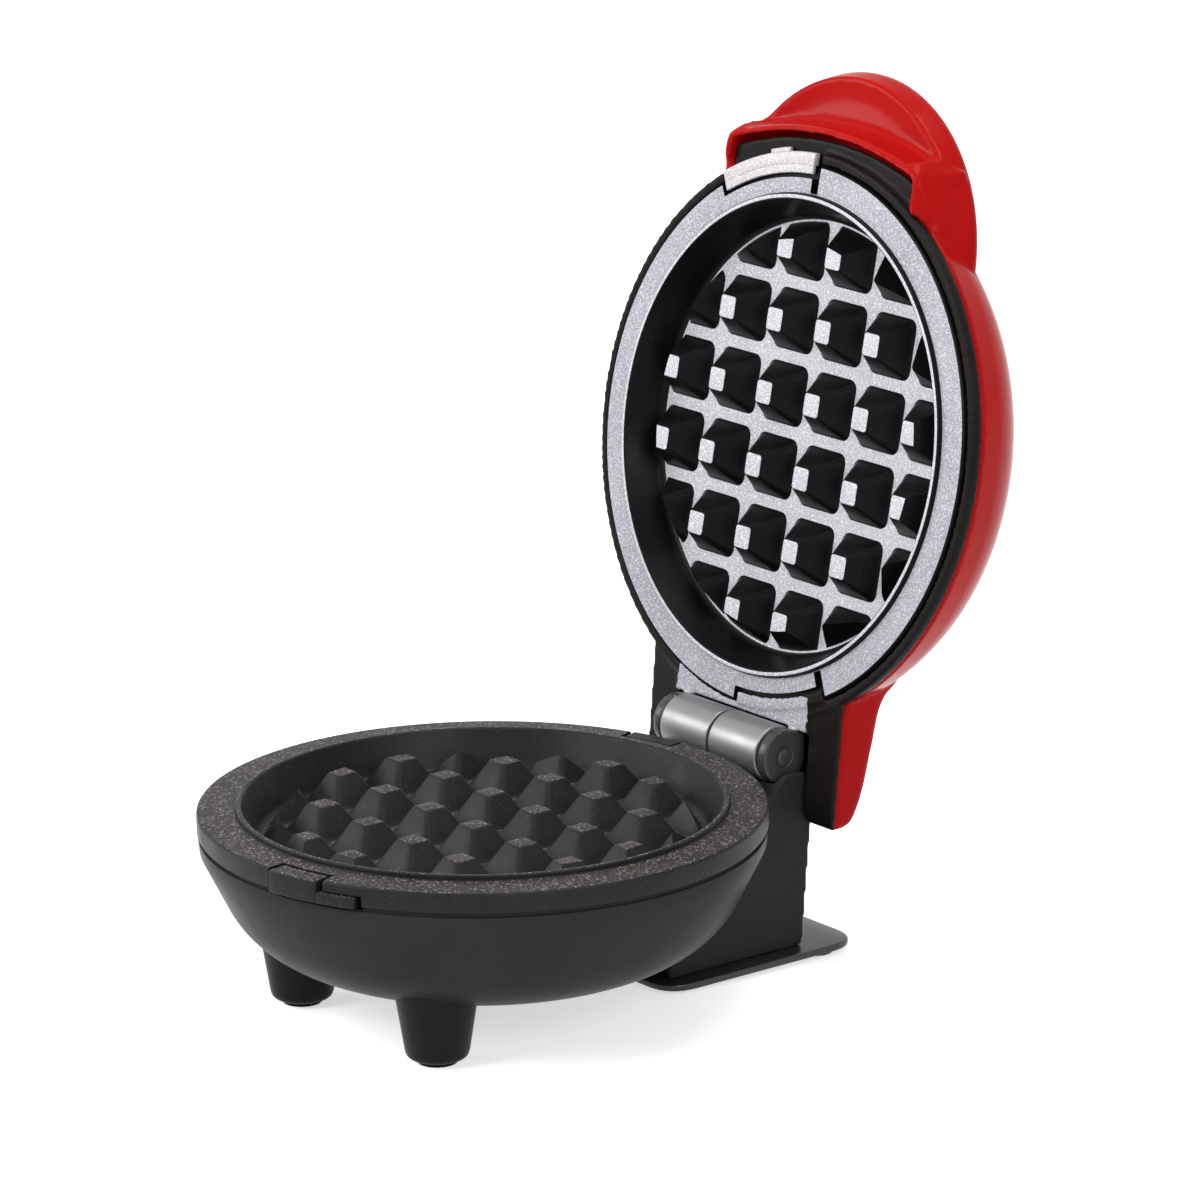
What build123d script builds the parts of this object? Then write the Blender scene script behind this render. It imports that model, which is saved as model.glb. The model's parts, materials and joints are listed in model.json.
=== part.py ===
"""Mini waffle maker with its lid raised, in millimetres.

Everything is drawn about the centre line of the round base, with +Z up from the
table and the front of the cooker towards -Y. Lid pieces are drawn with the lid
closed and are swung open about the hinge line as they are written.
"""
import os
from math import atan, ceil, cos, degrees, hypot, radians, sin, sqrt

from build123d import *

os.makedirs("parts", exist_ok=True)

# Stance
rim_z = 44.4            # flat rim of the lower plate above the table
open_angle = 101.0      # how far the lid is raised from closed
base_y = -26.14         # centre line of the base, from the frame's origin

# Gaps
fit_gap = 0.15          # between mouldings of one body
move_gap = 0.4          # between pieces that pass each other
run_gap = 0.05          # round a pin in its bore

# Hinge
hinge_back = 6.6        # hinge line behind the lower plate
hinge_rise = 1.5        # hinge line above the flat rim of the lower plate
barrel_r = 6.4
barrel_half = 16.4
barrel_seam = 0.8
knuckle_t = 2.6
knuckle_r = 6.0
pin_r = 2.0
pin_depth = 9.0         # how far each pin reaches into the barrel

# Cooking plates
plate_r = 61.2          # lower plate
lid_plate_step = 1.6    # upper plate is smaller by this
plates_apart = 2.9      # between the two flat rims when closed
rim_t = 2.0
rim_w = 9.5             # from the edge of the lower plate to its lip
lip_t = 1.3
lip_h = 1.2
recess_depth = 7.4
recess_slope = 3.2
floor_t = 2.4
skirt_t = 1.8
skirt_h = 4.4
lid_skirt_h = 2.4
peg_pitch = 16.26
peg_base = 13.7
peg_top = 5.2
peg_h = 6.4
peg_edge = 0.0          # spare floor before another row of pegs fits
peg_boss_r = 3.6        # bosses under each plate for the tray screws
boss_ring_r = 22.0

# Notches in the plates and the tabs and catches that fill them
notch_in = 4.4          # depth of the notches in the lower plate
notch_gap = 0.7
shelf_out = 2.1
shelf_drop = 1.3
shelf_t = 1.0
nose_t = 0.8
nose_len = 1.8
catch_proud = 1.0       # catches stand out this far beyond the lower plate
catch_travel = 2.2
catch_drop = 4.8
lid_catch_drop = 1.7
lower_notch = (6.5, 20.5)
lower_step_end = 29.0
lower_step_drop = 2.5
lower_rear_notch = (186.5, 200.5)
upper_notch = (-31.6, 1.1)
upper_rear_notch = (152.0, 182.0)
slot_deg = 1.0
upper_slot_deg = 2.6
finger_w = 6.5
finger_out = 1.0
finger_deg = -13.0

# Heaters and their trays
heater_in = 15.5        # heater ring inside the edge of the plate floor
heater_tube_r = 3.2
heater_flat = 2.6       # centre of the sheath to its flattened top
heater_open = 40.0
tail_r = 1.6
tail_len = 8.0
tail_hole_gap = 1.0
tray_t = 0.8
tray_room = 7.7         # between plate and tray
tray_floor_in = 4.5
tray_flange_low = 5.8   # below the underside of the rim
tray_flange_start = 1.5 # outside the lip
tray_flange_w = 2.8
switch_r = 7.5
switch_body_t = 3.0
switch_blade_l = 7.0
switch_blade_w = 4.0
fuse_r = 1.8
fuse_l = 18.0
fuse_y = -18.0
lead_r = 0.6
lead_l = 3.0

# Base bowl
wall = 2.2
bowl_set = 0.2          # bowl is smaller than the plate by this
rim_gap = 1.0           # between the plate skirt and the bowl rim
bowl_bottom_z = 12.0
bowl_turn_in = 27.0     # turn starts this far inside the bowl rim
bowl_turn_r = 24.0
bowl_turn_deg = 61.0
ledge_set = 1.0
ledge_h = 2.0

# Front legs and the soft pads
leg_x = 24.5
leg_y = -31.0
leg_top_r = 9.6
leg_foot_r = 6.6
leg_top_rise = 8.0      # legs reach this far above the bowl bottom
leg_round = 1.6
pad_lift = 1.0          # pads stand out this far below legs and foot
pad_t = 2.0
pad_r = 4.2
rear_pad_x = 20.0
rear_pad_back = 7.7     # behind the hinge line
rear_pad_t = 1.8

# Rear tower and the foot under it
tower_half = 21.5
tower_wall = 1.8
tower_front_in = 4.9    # all tower depths are from the hinge line
tower_low_in = 33.8
tower_low_back = 3.2
tower_mid_back = 5.6
tower_top_back = 6.9
tower_mid_drop = 16.0   # all tower drops are from the flat rim
tower_step_drop = 5.8
tower_deck_drop = 7.0
shoulder_drop = 2.0
shoulder_round = 3.2
foot_half = 26.0
foot_front_in = 37.8    # from the hinge line
foot_back = 16.2
foot_t = 1.6
foot_round = 8.0
gland_z = 16.0
gland_neck_r = 3.6
gland_flange_r = 5.4
gland_flange_t = 1.4
gland_out = 6.5
gland_bore_r = 2.6
block_l = 20.0
block_w = 9.0
block_h = 8.0
block_back = 18.0       # behind the start of the bowl turn at the front

# Lid shell
lid_margin = 2.4        # beyond the upper plate
lid_rim_rise = 6.0      # all rises are above the flat rim of the lower plate
lid_wall = 2.0
lid_top_rise = 28.9
lid_turn_in = 32.0
lid_turn_r = 31.8
lid_turn_deg = 58.0

# Handle at the front of the lid
nose_r = 40.0
nose_in = 20.7          # centre of the nose inside the front of the lid
nose_edge_rise = 16.7
nose_edge_t = 0.8
nose_top_rise = 20.5
nose_top_in = 5.5
brim_low_rise = 3.5
brim_top_rise = 9.0     # where the skirt turns out into the nose
brim_flare = 1.3
brim_out = 5.0          # skirt stands out this far ahead of the lid
brim_corner_x = 32.0
brim_sweep = 7.0
brim_depth = 13.0
brim_wall = 1.6
scoop_half = 34.0
scoop_out = 7.5         # middle of the scoop ahead of the skirt
scoop_rise = 9.8
scoop_r = 6.5

# Hood at the rear of the lid
hood_half = 32.0
hood_wall = 1.8
hood_low_in = 8.6       # inside the rear of the lid
hood_low_rise = 5.1
hood_end_back = 14.6    # behind the hinge line
hood_end_rise = 7.9
hood_tip_back = 10.8
hood_tip_rise = 13.7
hood_top_in = 5.2       # ahead of the hinge line
hood_top_rise = 17.3
hood_root_in = 14.0     # inside the rear of the lid
hood_root_rise = 22.0
hood_round = 3.5
arm_in_x = 22.6

# Lid liner
liner_proud = 0.2
liner_face_rise = 3.5
liner_web_t = 1.1
liner_lap = 2.6
liner_arm_drop = 1.6

# Indicator in the lid top
lens_r = 3.4
lens_y = -20.0
lens_rise = 0.9
lens_depth = 4.0
lens_rim = 1.2
lamp_r = 1.8

# Screws
screw_r = 1.5
screw_head_r = 2.8
screw_head_t = 1.6
screw_bite = 6.0
foot_screw_x = 12.0
foot_screw_in = 3.8     # ahead of the hinge line
foot_boss_r = 3.4
foot_boss_h = 8.0

# Places worked out from the sizes
lid_plate_r = plate_r - lid_plate_step
lip_r = plate_r - rim_w
floor_r = lip_r - recess_slope
peg_rows = 2 * ceil((floor_r - peg_edge) / peg_pitch)
notch_r = plate_r - notch_in
catch_out = plate_r + catch_proud
under = recess_depth + floor_t
heater_ring_r = floor_r - heater_in
tray_depth = under + tray_room
tray_floor_r = floor_r - tray_floor_in
tray_flange_drop = rim_t + tray_flange_low
tray_flange_in = lip_r + tray_flange_start
tray_flange_r = tray_flange_in + tray_flange_w
bowl_r = plate_r - bowl_set
bowl_rim_drop = skirt_h + rim_gap
bowl_flat_r = bowl_r - bowl_turn_in
ledge_r = plate_r - ledge_set
leg_top_z = bowl_bottom_z + leg_top_rise
hinge_y = plate_r + hinge_back
rear_pad_y = hinge_y + rear_pad_back
tower_front_y = hinge_y - tower_front_in
tower_low_y = hinge_y - tower_low_in
tower_back_low = hinge_y + tower_low_back
tower_back_mid = hinge_y + tower_mid_back
tower_back_top = hinge_y + tower_top_back
tower_mid_z = rim_z - tower_mid_drop
tower_step_z = rim_z - tower_step_drop
tower_deck_z = rim_z - tower_deck_drop
foot_front_y = hinge_y - foot_front_in
foot_back_y = hinge_y + foot_back
foot_screw_y = hinge_y - foot_screw_in
block_y = bowl_flat_r - block_back
lid_r = lid_plate_r + lid_margin
lid_flat_r = lid_r - lid_turn_in
liner_r = lid_r + liner_proud
liner_open_r = lid_plate_r - liner_lap
nose_y = nose_in - lid_r
nose_top_r = nose_r - nose_top_in
brim_y = -lid_r - brim_out
brim_corner_y = brim_y + brim_sweep
brim_back_y = brim_y + brim_depth
scoop_y = brim_y - scoop_out
hood_low_y = lid_r - hood_low_in
hood_root_y = lid_r - hood_root_in
hood_end_y = hinge_y + hood_end_back
hood_tip_y = hinge_y + hood_tip_back
hood_top_y = hinge_y - hood_top_in
hinge_z = rim_z + hinge_rise
lid_plane_z = rim_z + plates_apart
knuckle_in = barrel_half + move_gap
knuckle_out = knuckle_in + knuckle_t
slot_out = knuckle_out + move_gap
heater_z = -(under + heater_flat)
bowl_rim_z = rim_z - bowl_rim_drop
foot_top_z = pad_lift + foot_t
tower_top_z = rim_z - shoulder_drop
lid_rim_z = rim_z + lid_rim_rise
lip_out = lip_r + lip_t
seat_rise = plates_apart + lid_skirt_h
hinge_line = Axis((0, hinge_y, hinge_z), (1, 0, 0))


def standing(piece):
    """Put a piece of the base in the frame."""
    return piece.moved(Location((0, base_y, 0)))


def raised(piece):
    """Swing a piece of the lid open and put it in the frame."""
    swung = piece.rotate(hinge_line, -open_angle)
    swung = swung.moved(Location((0, base_y, 0)))
    swung.label = piece.label
    return swung


def side_plane(x):
    """Plane square to X, with its own X along +Y and its Y along +Z."""
    return Plane(origin=(x, 0, 0), x_dir=(0, 1, 0), z_dir=(1, 0, 0))


def slab(points, low_x, high_x):
    """Side outline in Y and Z drawn out along X."""
    with BuildPart() as piece:
        with BuildSketch(side_plane(low_x)):
            with BuildLine():
                Polyline(*points, close=True)
            make_face()
        extrude(amount=high_x - low_x)
    return piece.part


def drum(r, low_x, high_x, y=hinge_y, z=hinge_z):
    """Cylinder along X, on the hinge line unless told otherwise."""
    with BuildPart() as piece:
        with BuildSketch(side_plane(low_x)):
            with Locations((y, z)):
                Circle(r)
        extrude(amount=high_x - low_x)
    return piece.part


def disc(r, low, high, spots=((0, 0),)):
    """Upright cylinders of one size."""
    with BuildPart() as piece:
        with BuildSketch(Plane.XY.offset(low)):
            with Locations(*spots):
                Circle(r)
        extrude(amount=high - low)
    return piece.part


def turned_body(flat_r, turn_r, turn_deg, flat_z, rim_r, rim_height, inset, up):
    """Round body with a flat face, a wide turn and a nearly straight side.

    The turn leaves the flat face and swings round by turn_deg. The inset moves
    the whole outline inwards, and up is 1 for a bowl and -1 for a dome.
    """
    centre_z = flat_z + up * turn_r
    inner_r = turn_r - inset
    swing = radians(turn_deg)
    start = (flat_r, flat_z + up * inset)
    mid = (flat_r + inner_r * sin(swing / 2), centre_z - up * inner_r * cos(swing / 2))
    knee = (flat_r + inner_r * sin(swing), centre_z - up * inner_r * cos(swing))
    with BuildPart() as body:
        with BuildSketch(Plane.XZ):
            with BuildLine():
                Line((0, start[1]), start)
                ThreePointArc(start, mid, knee)
                Polyline(knee, (rim_r - inset, rim_height), (0, rim_height), (0, start[1]))
            make_face()
        revolve(axis=Axis.Z)
    return body.part


def sector(inner, outer, start_deg, end_deg, low, high):
    """Curved block between two radii and two angles, counted from the front."""
    a = radians(start_deg - 90)
    b = radians(end_deg - 90)
    m = (a + b) / 2
    with BuildPart() as block:
        with BuildSketch(Plane.XY.offset(low)):
            with BuildLine():
                ThreePointArc((outer * cos(a), outer * sin(a)), (outer * cos(m), outer * sin(m)),
                              (outer * cos(b), outer * sin(b)))
                Line((outer * cos(b), outer * sin(b)), (inner * cos(b), inner * sin(b)))
                ThreePointArc((inner * cos(b), inner * sin(b)), (inner * cos(m), inner * sin(m)),
                              (inner * cos(a), inner * sin(a)))
                Line((inner * cos(a), inner * sin(a)), (outer * cos(a), outer * sin(a)))
            make_face()
        extrude(amount=high - low)
    return block.part


def peg_field():
    """Tapered pegs on the plate's square grid, trimmed to the round floor."""
    lean = degrees(atan((peg_base - peg_top) / 2 / peg_h))
    foot_r = floor_r - (peg_pitch - peg_base) / 2
    head_r = foot_r - (peg_base - peg_top) / 2
    half = peg_pitch * (peg_rows - 1) / 2
    spots = []
    for column in range(peg_rows):
        for row in range(peg_rows):
            x = column * peg_pitch - half
            y = row * peg_pitch - half
            if hypot(abs(x) - peg_base / 2, abs(y) - peg_base / 2) < head_r:
                spots.append((x, y))
    with BuildPart() as trim:
        with BuildSketch(Plane.XY.offset(-recess_depth - floor_t / 2)):
            Circle(foot_r + floor_t / 2 * (foot_r - head_r) / peg_h)
        with BuildSketch(Plane.XY.offset(peg_h - recess_depth)):
            Circle(head_r)
        loft(ruled=True)
    with BuildPart() as field:
        with BuildSketch(Plane.XY.offset(-recess_depth)):
            with Locations(*spots):
                Rectangle(peg_base, peg_base)
        extrude(amount=peg_h, taper=lean)
        add(trim.part, mode=Mode.INTERSECT)
    return field.part


def cook_plate(outer, skirt, notches, steps):
    """Cast plate, cooking side up, with its flat rim at z = 0."""
    with BuildPart() as plate:
        with BuildSketch(Plane.XZ):
            with BuildLine():
                Polyline((0, -recess_depth), (floor_r, -recess_depth), (lip_r, lip_h),
                         (lip_out, lip_h), (lip_out, 0), (outer, 0), (outer, -skirt),
                         (outer - skirt_t, -skirt), (outer - skirt_t, -rim_t),
                         (lip_out + lip_t, -rim_t), (floor_r + floor_t, -under), (0, -under),
                         close=True)
            make_face()
        revolve(axis=Axis.Z)
        add(peg_field())
        with BuildSketch(Plane.XY.offset(-under)):
            with PolarLocations(boss_ring_r, 3, start_angle=90):
                Circle(peg_boss_r)
        extrude(amount=under - tray_depth)
        with BuildSketch(Plane.XY.offset(-tray_depth)):
            with PolarLocations(boss_ring_r, 3, start_angle=90):
                Circle(screw_r)
        extrude(amount=screw_bite, mode=Mode.SUBTRACT)
        for start_deg, end_deg in notches:
            add(sector(notch_r, outer + wall, start_deg, end_deg, -skirt - wall, lip_h), mode=Mode.SUBTRACT)
            add(sector(notch_r - skirt_t, notch_r + shelf_out, start_deg, end_deg,
                       -shelf_drop - shelf_t, -shelf_drop))
        for start_deg, end_deg in steps:
            add(sector(outer - skirt_t - wall, outer + wall, start_deg, end_deg, -skirt - wall,
                       -lower_step_drop + move_gap), mode=Mode.SUBTRACT)
    return plate.part


def notch_tab(start_deg, end_deg, body_drop, outer):
    """Tab that fills a plate notch, its nose lapping over the plate's shelf."""
    inner = notch_r + notch_gap
    with BuildPart() as tab:
        add(sector(inner, inner + nose_len, start_deg, end_deg, -nose_t - run_gap, -run_gap))
        add(sector(inner + nose_len, outer, start_deg, end_deg, -body_drop, -run_gap))
    return tab.part


def heater():
    """Sheathed ring flattened against the plate, its two tails turned down."""
    half_open = radians(heater_open / 2)
    tail_x = heater_ring_r * sin(half_open)
    tail_y = heater_ring_r * cos(half_open)
    with BuildPart() as ring:
        with BuildSketch(Plane.XZ):
            with Locations((heater_ring_r, heater_z)):
                Circle(heater_tube_r)
            with Locations((heater_ring_r, heater_z + heater_flat + heater_tube_r / 2)):
                Rectangle(2 * heater_tube_r, heater_tube_r, mode=Mode.SUBTRACT)
        revolve(axis=Axis.Z, revolution_arc=360 - heater_open)
    turned = ring.part.rotate(Axis.Z, 90 + heater_open / 2)
    with BuildPart() as whole:
        add(turned)
        add(disc(tail_r, heater_z - tail_len, heater_z, ((-tail_x, tail_y), (tail_x, tail_y))))
    return whole.part


def heat_tray():
    """Pressed dish behind the heater, screwed to the plate's bosses."""
    half_open = radians(heater_open / 2)
    tail_x = heater_ring_r * sin(half_open)
    tail_y = heater_ring_r * cos(half_open)
    with BuildPart() as tray:
        with BuildSketch(Plane.XZ):
            with BuildLine():
                Polyline((0, -tray_depth), (tray_floor_r, -tray_depth), (tray_flange_in, -tray_flange_drop),
                         (tray_flange_r, -tray_flange_drop), (tray_flange_r, -tray_flange_drop - tray_t),
                         (tray_flange_in + tray_t / 2, -tray_flange_drop - tray_t),
                         (tray_floor_r + tray_t / 2, -tray_depth - tray_t), (0, -tray_depth - tray_t),
                         close=True)
            make_face()
        revolve(axis=Axis.Z)
        with BuildSketch(Plane.XY.offset(-tray_depth - tray_t)):
            with PolarLocations(boss_ring_r, 3, start_angle=90):
                Circle(screw_r + run_gap)
            with Locations((-tail_x, tail_y), (tail_x, tail_y)):
                Circle(tail_r + tail_hole_gap)
        extrude(amount=tray_t, mode=Mode.SUBTRACT)
    return tray.part


def tray_screws():
    """Three screws through a tray into the bosses of its plate."""
    head_z = -tray_depth - tray_t
    with BuildPart() as group:
        with BuildSketch(Plane.XY.offset(head_z)):
            with PolarLocations(boss_ring_r, 3, start_angle=90):
                Circle(screw_head_r)
        extrude(amount=-screw_head_t)
        with BuildSketch(Plane.XY.offset(head_z)):
            with PolarLocations(boss_ring_r, 3, start_angle=90):
                Circle(screw_r)
        extrude(amount=tray_t + screw_bite)
    return group.part


def heat_switch():
    """Round snap switch between plate and tray, with its two blades."""
    with BuildPart() as switch:
        add(disc(switch_r, -under - switch_body_t, -under))
        add(disc(switch_r - tray_t, -tray_depth, -under - switch_body_t))
        with BuildSketch(Plane.XY.offset(-under - switch_body_t)):
            with Locations((-switch_r, 0), (switch_r, 0)):
                Rectangle(switch_blade_l, switch_blade_w)
        extrude(amount=-tray_t)
    return switch.part


def heat_fuse():
    """Small sleeved fuse laid against the plate beside the switch."""
    with BuildPart() as fuse:
        add(drum(fuse_r, -fuse_l / 2, fuse_l / 2, fuse_y, -under - fuse_r))
        add(drum(lead_r, -fuse_l / 2 - lead_l, fuse_l / 2 + lead_l, fuse_y, -under - fuse_r))
    return fuse.part


def brim_face(inset, plane):
    """Plan of the handle's skirt, moved in by the inset."""
    x = brim_corner_x - inset
    with BuildSketch(plane) as face:
        with BuildLine():
            ThreePointArc((-x, brim_corner_y), (0, brim_y + inset), (x, brim_corner_y))
            Polyline((x, brim_corner_y), (x, brim_back_y), (-x, brim_back_y), (-x, brim_corner_y))
        make_face()
    return face.sketch


def nose_face():
    """Plan of the nose ahead of the lid, as wide as the skirt."""
    x = brim_corner_x + brim_flare
    side_y = nose_y - sqrt(nose_r ** 2 - x ** 2)
    with BuildSketch() as face:
        with BuildLine():
            ThreePointArc((-x, side_y), (0, nose_y - nose_r), (x, side_y))
            Polyline((x, side_y), (x, brim_back_y), (-x, brim_back_y), (-x, side_y))
        make_face()
    return face.sketch


def finger_scoop():
    """Hollow under the nose, deepest in the middle and closed at both ends."""
    scoop_z = rim_z + scoop_rise
    with BuildPart() as scoop:
        with BuildSketch(Plane(origin=(0, scoop_y, scoop_z), x_dir=(1, 0, 0), z_dir=(0, -1, 0))):
            with BuildLine():
                ThreePointArc((-scoop_half, 0), (0, scoop_r), (scoop_half, 0))
                Line((scoop_half, 0), (-scoop_half, 0))
            make_face()
        revolve(axis=Axis((0, scoop_y, scoop_z), (1, 0, 0)))
    return scoop.part


def on_lower(piece):
    """Set a plate piece in the base, cooking side up."""
    return piece.moved(Location((0, 0, rim_z)))


def on_upper(piece):
    """Set a plate piece in the closed lid, cooking side down."""
    return piece.mirror(Plane.XY).moved(Location((0, 0, lid_plane_z)))


bowl_outside = turned_body(bowl_flat_r, bowl_turn_r, bowl_turn_deg, bowl_bottom_z,
                           bowl_r, bowl_rim_z, 0, 1)
bowl_inside = turned_body(bowl_flat_r, bowl_turn_r, bowl_turn_deg, bowl_bottom_z,
                          bowl_r, bowl_rim_z, wall, 1)
dome_outside = turned_body(lid_flat_r, lid_turn_r, lid_turn_deg, rim_z + lid_top_rise,
                           lid_r, lid_rim_z, 0, -1)
dome_inside = turned_body(lid_flat_r, lid_turn_r, lid_turn_deg, rim_z + lid_top_rise,
                          lid_r, lid_rim_z, lid_wall, -1)
pocket_low = -catch_drop - move_gap

with BuildPart() as base_bowl:
    add(bowl_outside)
    add(bowl_inside, mode=Mode.SUBTRACT)
    with BuildSketch(Plane.XY.offset(bowl_rim_z - ledge_h / 2)):
        Circle(ledge_r)
        Circle(bowl_r - wall, mode=Mode.SUBTRACT)
    extrude(amount=rim_z - skirt_h - bowl_rim_z + ledge_h / 2)
    add(on_lower(notch_tab(lower_rear_notch[0] + slot_deg, lower_rear_notch[1] - slot_deg,
                           bowl_rim_drop, bowl_r)))
    add(sector(notch_r, catch_out + wall, lower_notch[0], lower_step_end,
               rim_z + pocket_low, rim_z), mode=Mode.SUBTRACT)
    add(sector(notch_r, bowl_r - wall / 2, lower_notch[0] - slot_deg, lower_step_end + slot_deg,
               rim_z + pocket_low - wall, rim_z + pocket_low))
base_bowl.part.label = "base_bowl"
export_step(standing(base_bowl.part), "parts/base_bowl.step")

catch_start = lower_notch[0] + slot_deg
catch_block_end = lower_notch[1] - slot_deg
with BuildPart() as catch_block:
    add(notch_tab(catch_start, catch_block_end, catch_drop, catch_out))
    add(sector(notch_r + notch_gap + nose_len, catch_out, catch_block_end, lower_step_end - slot_deg,
               -catch_drop, -lower_step_drop))
with BuildPart() as lower_catch:
    add(on_lower(catch_block.part))
lower_catch.part.label = "lower_catch"
export_step(standing(lower_catch.part), "parts/lower_catch.step")

for side, name in ((-1, "left"), (1, "right")):
    with BuildPart() as front_leg:
        with BuildSketch(Plane.XY.offset(pad_lift)):
            with Locations((side * leg_x, leg_y)):
                Circle(leg_foot_r)
        with BuildSketch(Plane.XY.offset(leg_top_z)):
            with Locations((side * leg_x, leg_y)):
                Circle(leg_top_r)
        loft(ruled=True)
        fillet(front_leg.edges().group_by(Axis.Z)[0], leg_round)
        add(bowl_outside, mode=Mode.SUBTRACT)
        add(disc(pad_r, 0, pad_t, ((side * leg_x, leg_y),)), mode=Mode.SUBTRACT)
    front_leg.part.label = f"front_leg_{name}"
    export_step(standing(front_leg.part), f"parts/front_leg_{name}.step")

    with BuildPart() as front_pad:
        add(disc(pad_r, 0, pad_t, ((side * leg_x, leg_y),)))
    front_pad.part.label = f"front_pad_{name}"
    export_step(standing(front_pad.part), f"parts/front_pad_{name}.step")

    with BuildPart() as rear_pad:
        add(disc(pad_r, 0, rear_pad_t, ((side * rear_pad_x, rear_pad_y),)))
    rear_pad.part.label = f"rear_pad_{name}"
    export_step(standing(rear_pad.part), f"parts/rear_pad_{name}.step")

foot_boss_spots = ((-foot_screw_x, foot_screw_y), (foot_screw_x, foot_screw_y))
with BuildPart() as hinge_tower:
    add(slab(((tower_low_y, foot_top_z), (tower_back_low, foot_top_z), (tower_back_mid, tower_mid_z),
              (tower_back_top, tower_top_z - shoulder_round),
              (tower_back_top - shoulder_round, tower_top_z),
              (tower_front_y + shoulder_round, tower_top_z), (tower_front_y, tower_top_z - shoulder_round),
              (tower_front_y, tower_step_z), (tower_low_y, tower_step_z)), -tower_half, tower_half))
    add(slab(((tower_low_y, foot_top_z), (tower_back_low - tower_wall, foot_top_z),
              (tower_back_mid - tower_wall, tower_mid_z),
              (tower_back_top - tower_wall, tower_deck_z - tower_wall),
              (tower_low_y, tower_deck_z - tower_wall)),
             -tower_half + tower_wall, tower_half - tower_wall), mode=Mode.SUBTRACT)
    add(bowl_outside, mode=Mode.SUBTRACT)
    add(slab(((foot_screw_y, foot_top_z), (tower_back_low - tower_wall / 2, foot_top_z),
              (tower_back_low - tower_wall / 2, foot_top_z + foot_boss_h),
              (foot_screw_y, foot_top_z + foot_boss_h)),
             -foot_screw_x - foot_boss_r, foot_screw_x + foot_boss_r))
    add(disc(foot_boss_r, foot_top_z, foot_top_z + foot_boss_h, foot_boss_spots))
    add(disc(screw_r, foot_top_z, foot_top_z + screw_bite, foot_boss_spots), mode=Mode.SUBTRACT)
    add(drum(barrel_r, -knuckle_in, knuckle_in), mode=Mode.SUBTRACT)
    add(drum(knuckle_r + move_gap, -slot_out, slot_out), mode=Mode.SUBTRACT)
    add(disc(plate_r + move_gap, rim_z - skirt_h, rim_z), mode=Mode.SUBTRACT)
    with BuildSketch(Plane(origin=(0, foot_back_y, gland_z), x_dir=(1, 0, 0), z_dir=(0, -1, 0))):
        Circle(gland_neck_r)
    extrude(amount=foot_back_y - foot_screw_y, mode=Mode.SUBTRACT)
hinge_tower.part.label = "hinge_tower"
export_step(standing(hinge_tower.part), "parts/hinge_tower.step")

with BuildPart() as rear_foot:
    with BuildSketch(Plane.XY.offset(pad_lift)):
        with Locations((0, (foot_front_y + foot_back_y) / 2)):
            RectangleRounded(2 * foot_half, foot_back_y - foot_front_y, foot_round)
    extrude(amount=foot_t)
    add(disc(pad_r, pad_lift, rear_pad_t, ((-rear_pad_x, rear_pad_y), (rear_pad_x, rear_pad_y))),
        mode=Mode.SUBTRACT)
    add(disc(screw_r + run_gap, pad_lift, foot_top_z, foot_boss_spots), mode=Mode.SUBTRACT)
rear_foot.part.label = "rear_foot"
export_step(standing(rear_foot.part), "parts/rear_foot.step")

with BuildPart() as foot_screws:
    add(disc(screw_head_r, pad_lift - screw_head_t / 2, pad_lift, foot_boss_spots))
    add(disc(screw_r, pad_lift, foot_top_z + screw_bite, foot_boss_spots))
foot_screws.part.label = "foot_screws"
export_step(standing(foot_screws.part), "parts/foot_screws.step")

gland_plane = Plane(origin=(0, tower_back_mid + gland_out, gland_z), x_dir=(1, 0, 0), z_dir=(0, -1, 0))
gland_len = gland_out + tower_back_mid - tower_back_low + tower_wall + gland_flange_t
with BuildPart() as cord_gland:
    with BuildSketch(gland_plane):
        Circle(gland_neck_r - run_gap)
    extrude(amount=gland_len)
    with BuildSketch(Plane(origin=(0, tower_back_mid, gland_z), x_dir=(1, 0, 0), z_dir=(0, 1, 0))):
        Circle(gland_flange_r)
    extrude(amount=gland_flange_t)
    with BuildSketch(gland_plane):
        Circle(gland_bore_r)
    extrude(amount=gland_len, mode=Mode.SUBTRACT)
cord_gland.part.label = "cord_gland"
export_step(standing(cord_gland.part), "parts/cord_gland.step")

block_low = bowl_bottom_z + wall
with BuildPart() as terminal_block:
    with BuildSketch(Plane.XY.offset(block_low)):
        with Locations((0, block_y)):
            Rectangle(block_l, block_w)
    extrude(amount=block_h)
    add(disc(screw_r, block_low + block_h / 2, block_low + block_h,
             ((-block_l / 4, block_y), (block_l / 4, block_y))), mode=Mode.SUBTRACT)
terminal_block.part.label = "terminal_block"
export_step(standing(terminal_block.part), "parts/terminal_block.step")

pin_in = barrel_half - pin_depth
for side, name in ((-1, "left"), (1, "right")):
    with BuildPart() as hinge_barrel:
        add(drum(barrel_r, *sorted((side * barrel_seam / 2, side * barrel_half))))
        add(drum(pin_r + run_gap, *sorted((side * pin_in, side * barrel_half))), mode=Mode.SUBTRACT)
    hinge_barrel.part.label = f"hinge_barrel_{name}"
    export_step(standing(hinge_barrel.part), f"parts/hinge_barrel_{name}.step")

    with BuildPart() as hinge_pin:
        add(drum(pin_r, *sorted((side * pin_in, side * knuckle_out))))
    hinge_pin.part.label = f"hinge_pin_{name}"
    export_step(standing(hinge_pin.part), f"parts/hinge_pin_{name}.step")

with BuildPart() as lower_plate:
    add(on_lower(cook_plate(plate_r, skirt_h, (lower_notch, lower_rear_notch),
                            ((lower_notch[1], lower_step_end),))))
lower_plate.part.label = "lower_plate"
export_step(standing(lower_plate.part), "parts/lower_plate.step")

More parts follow.
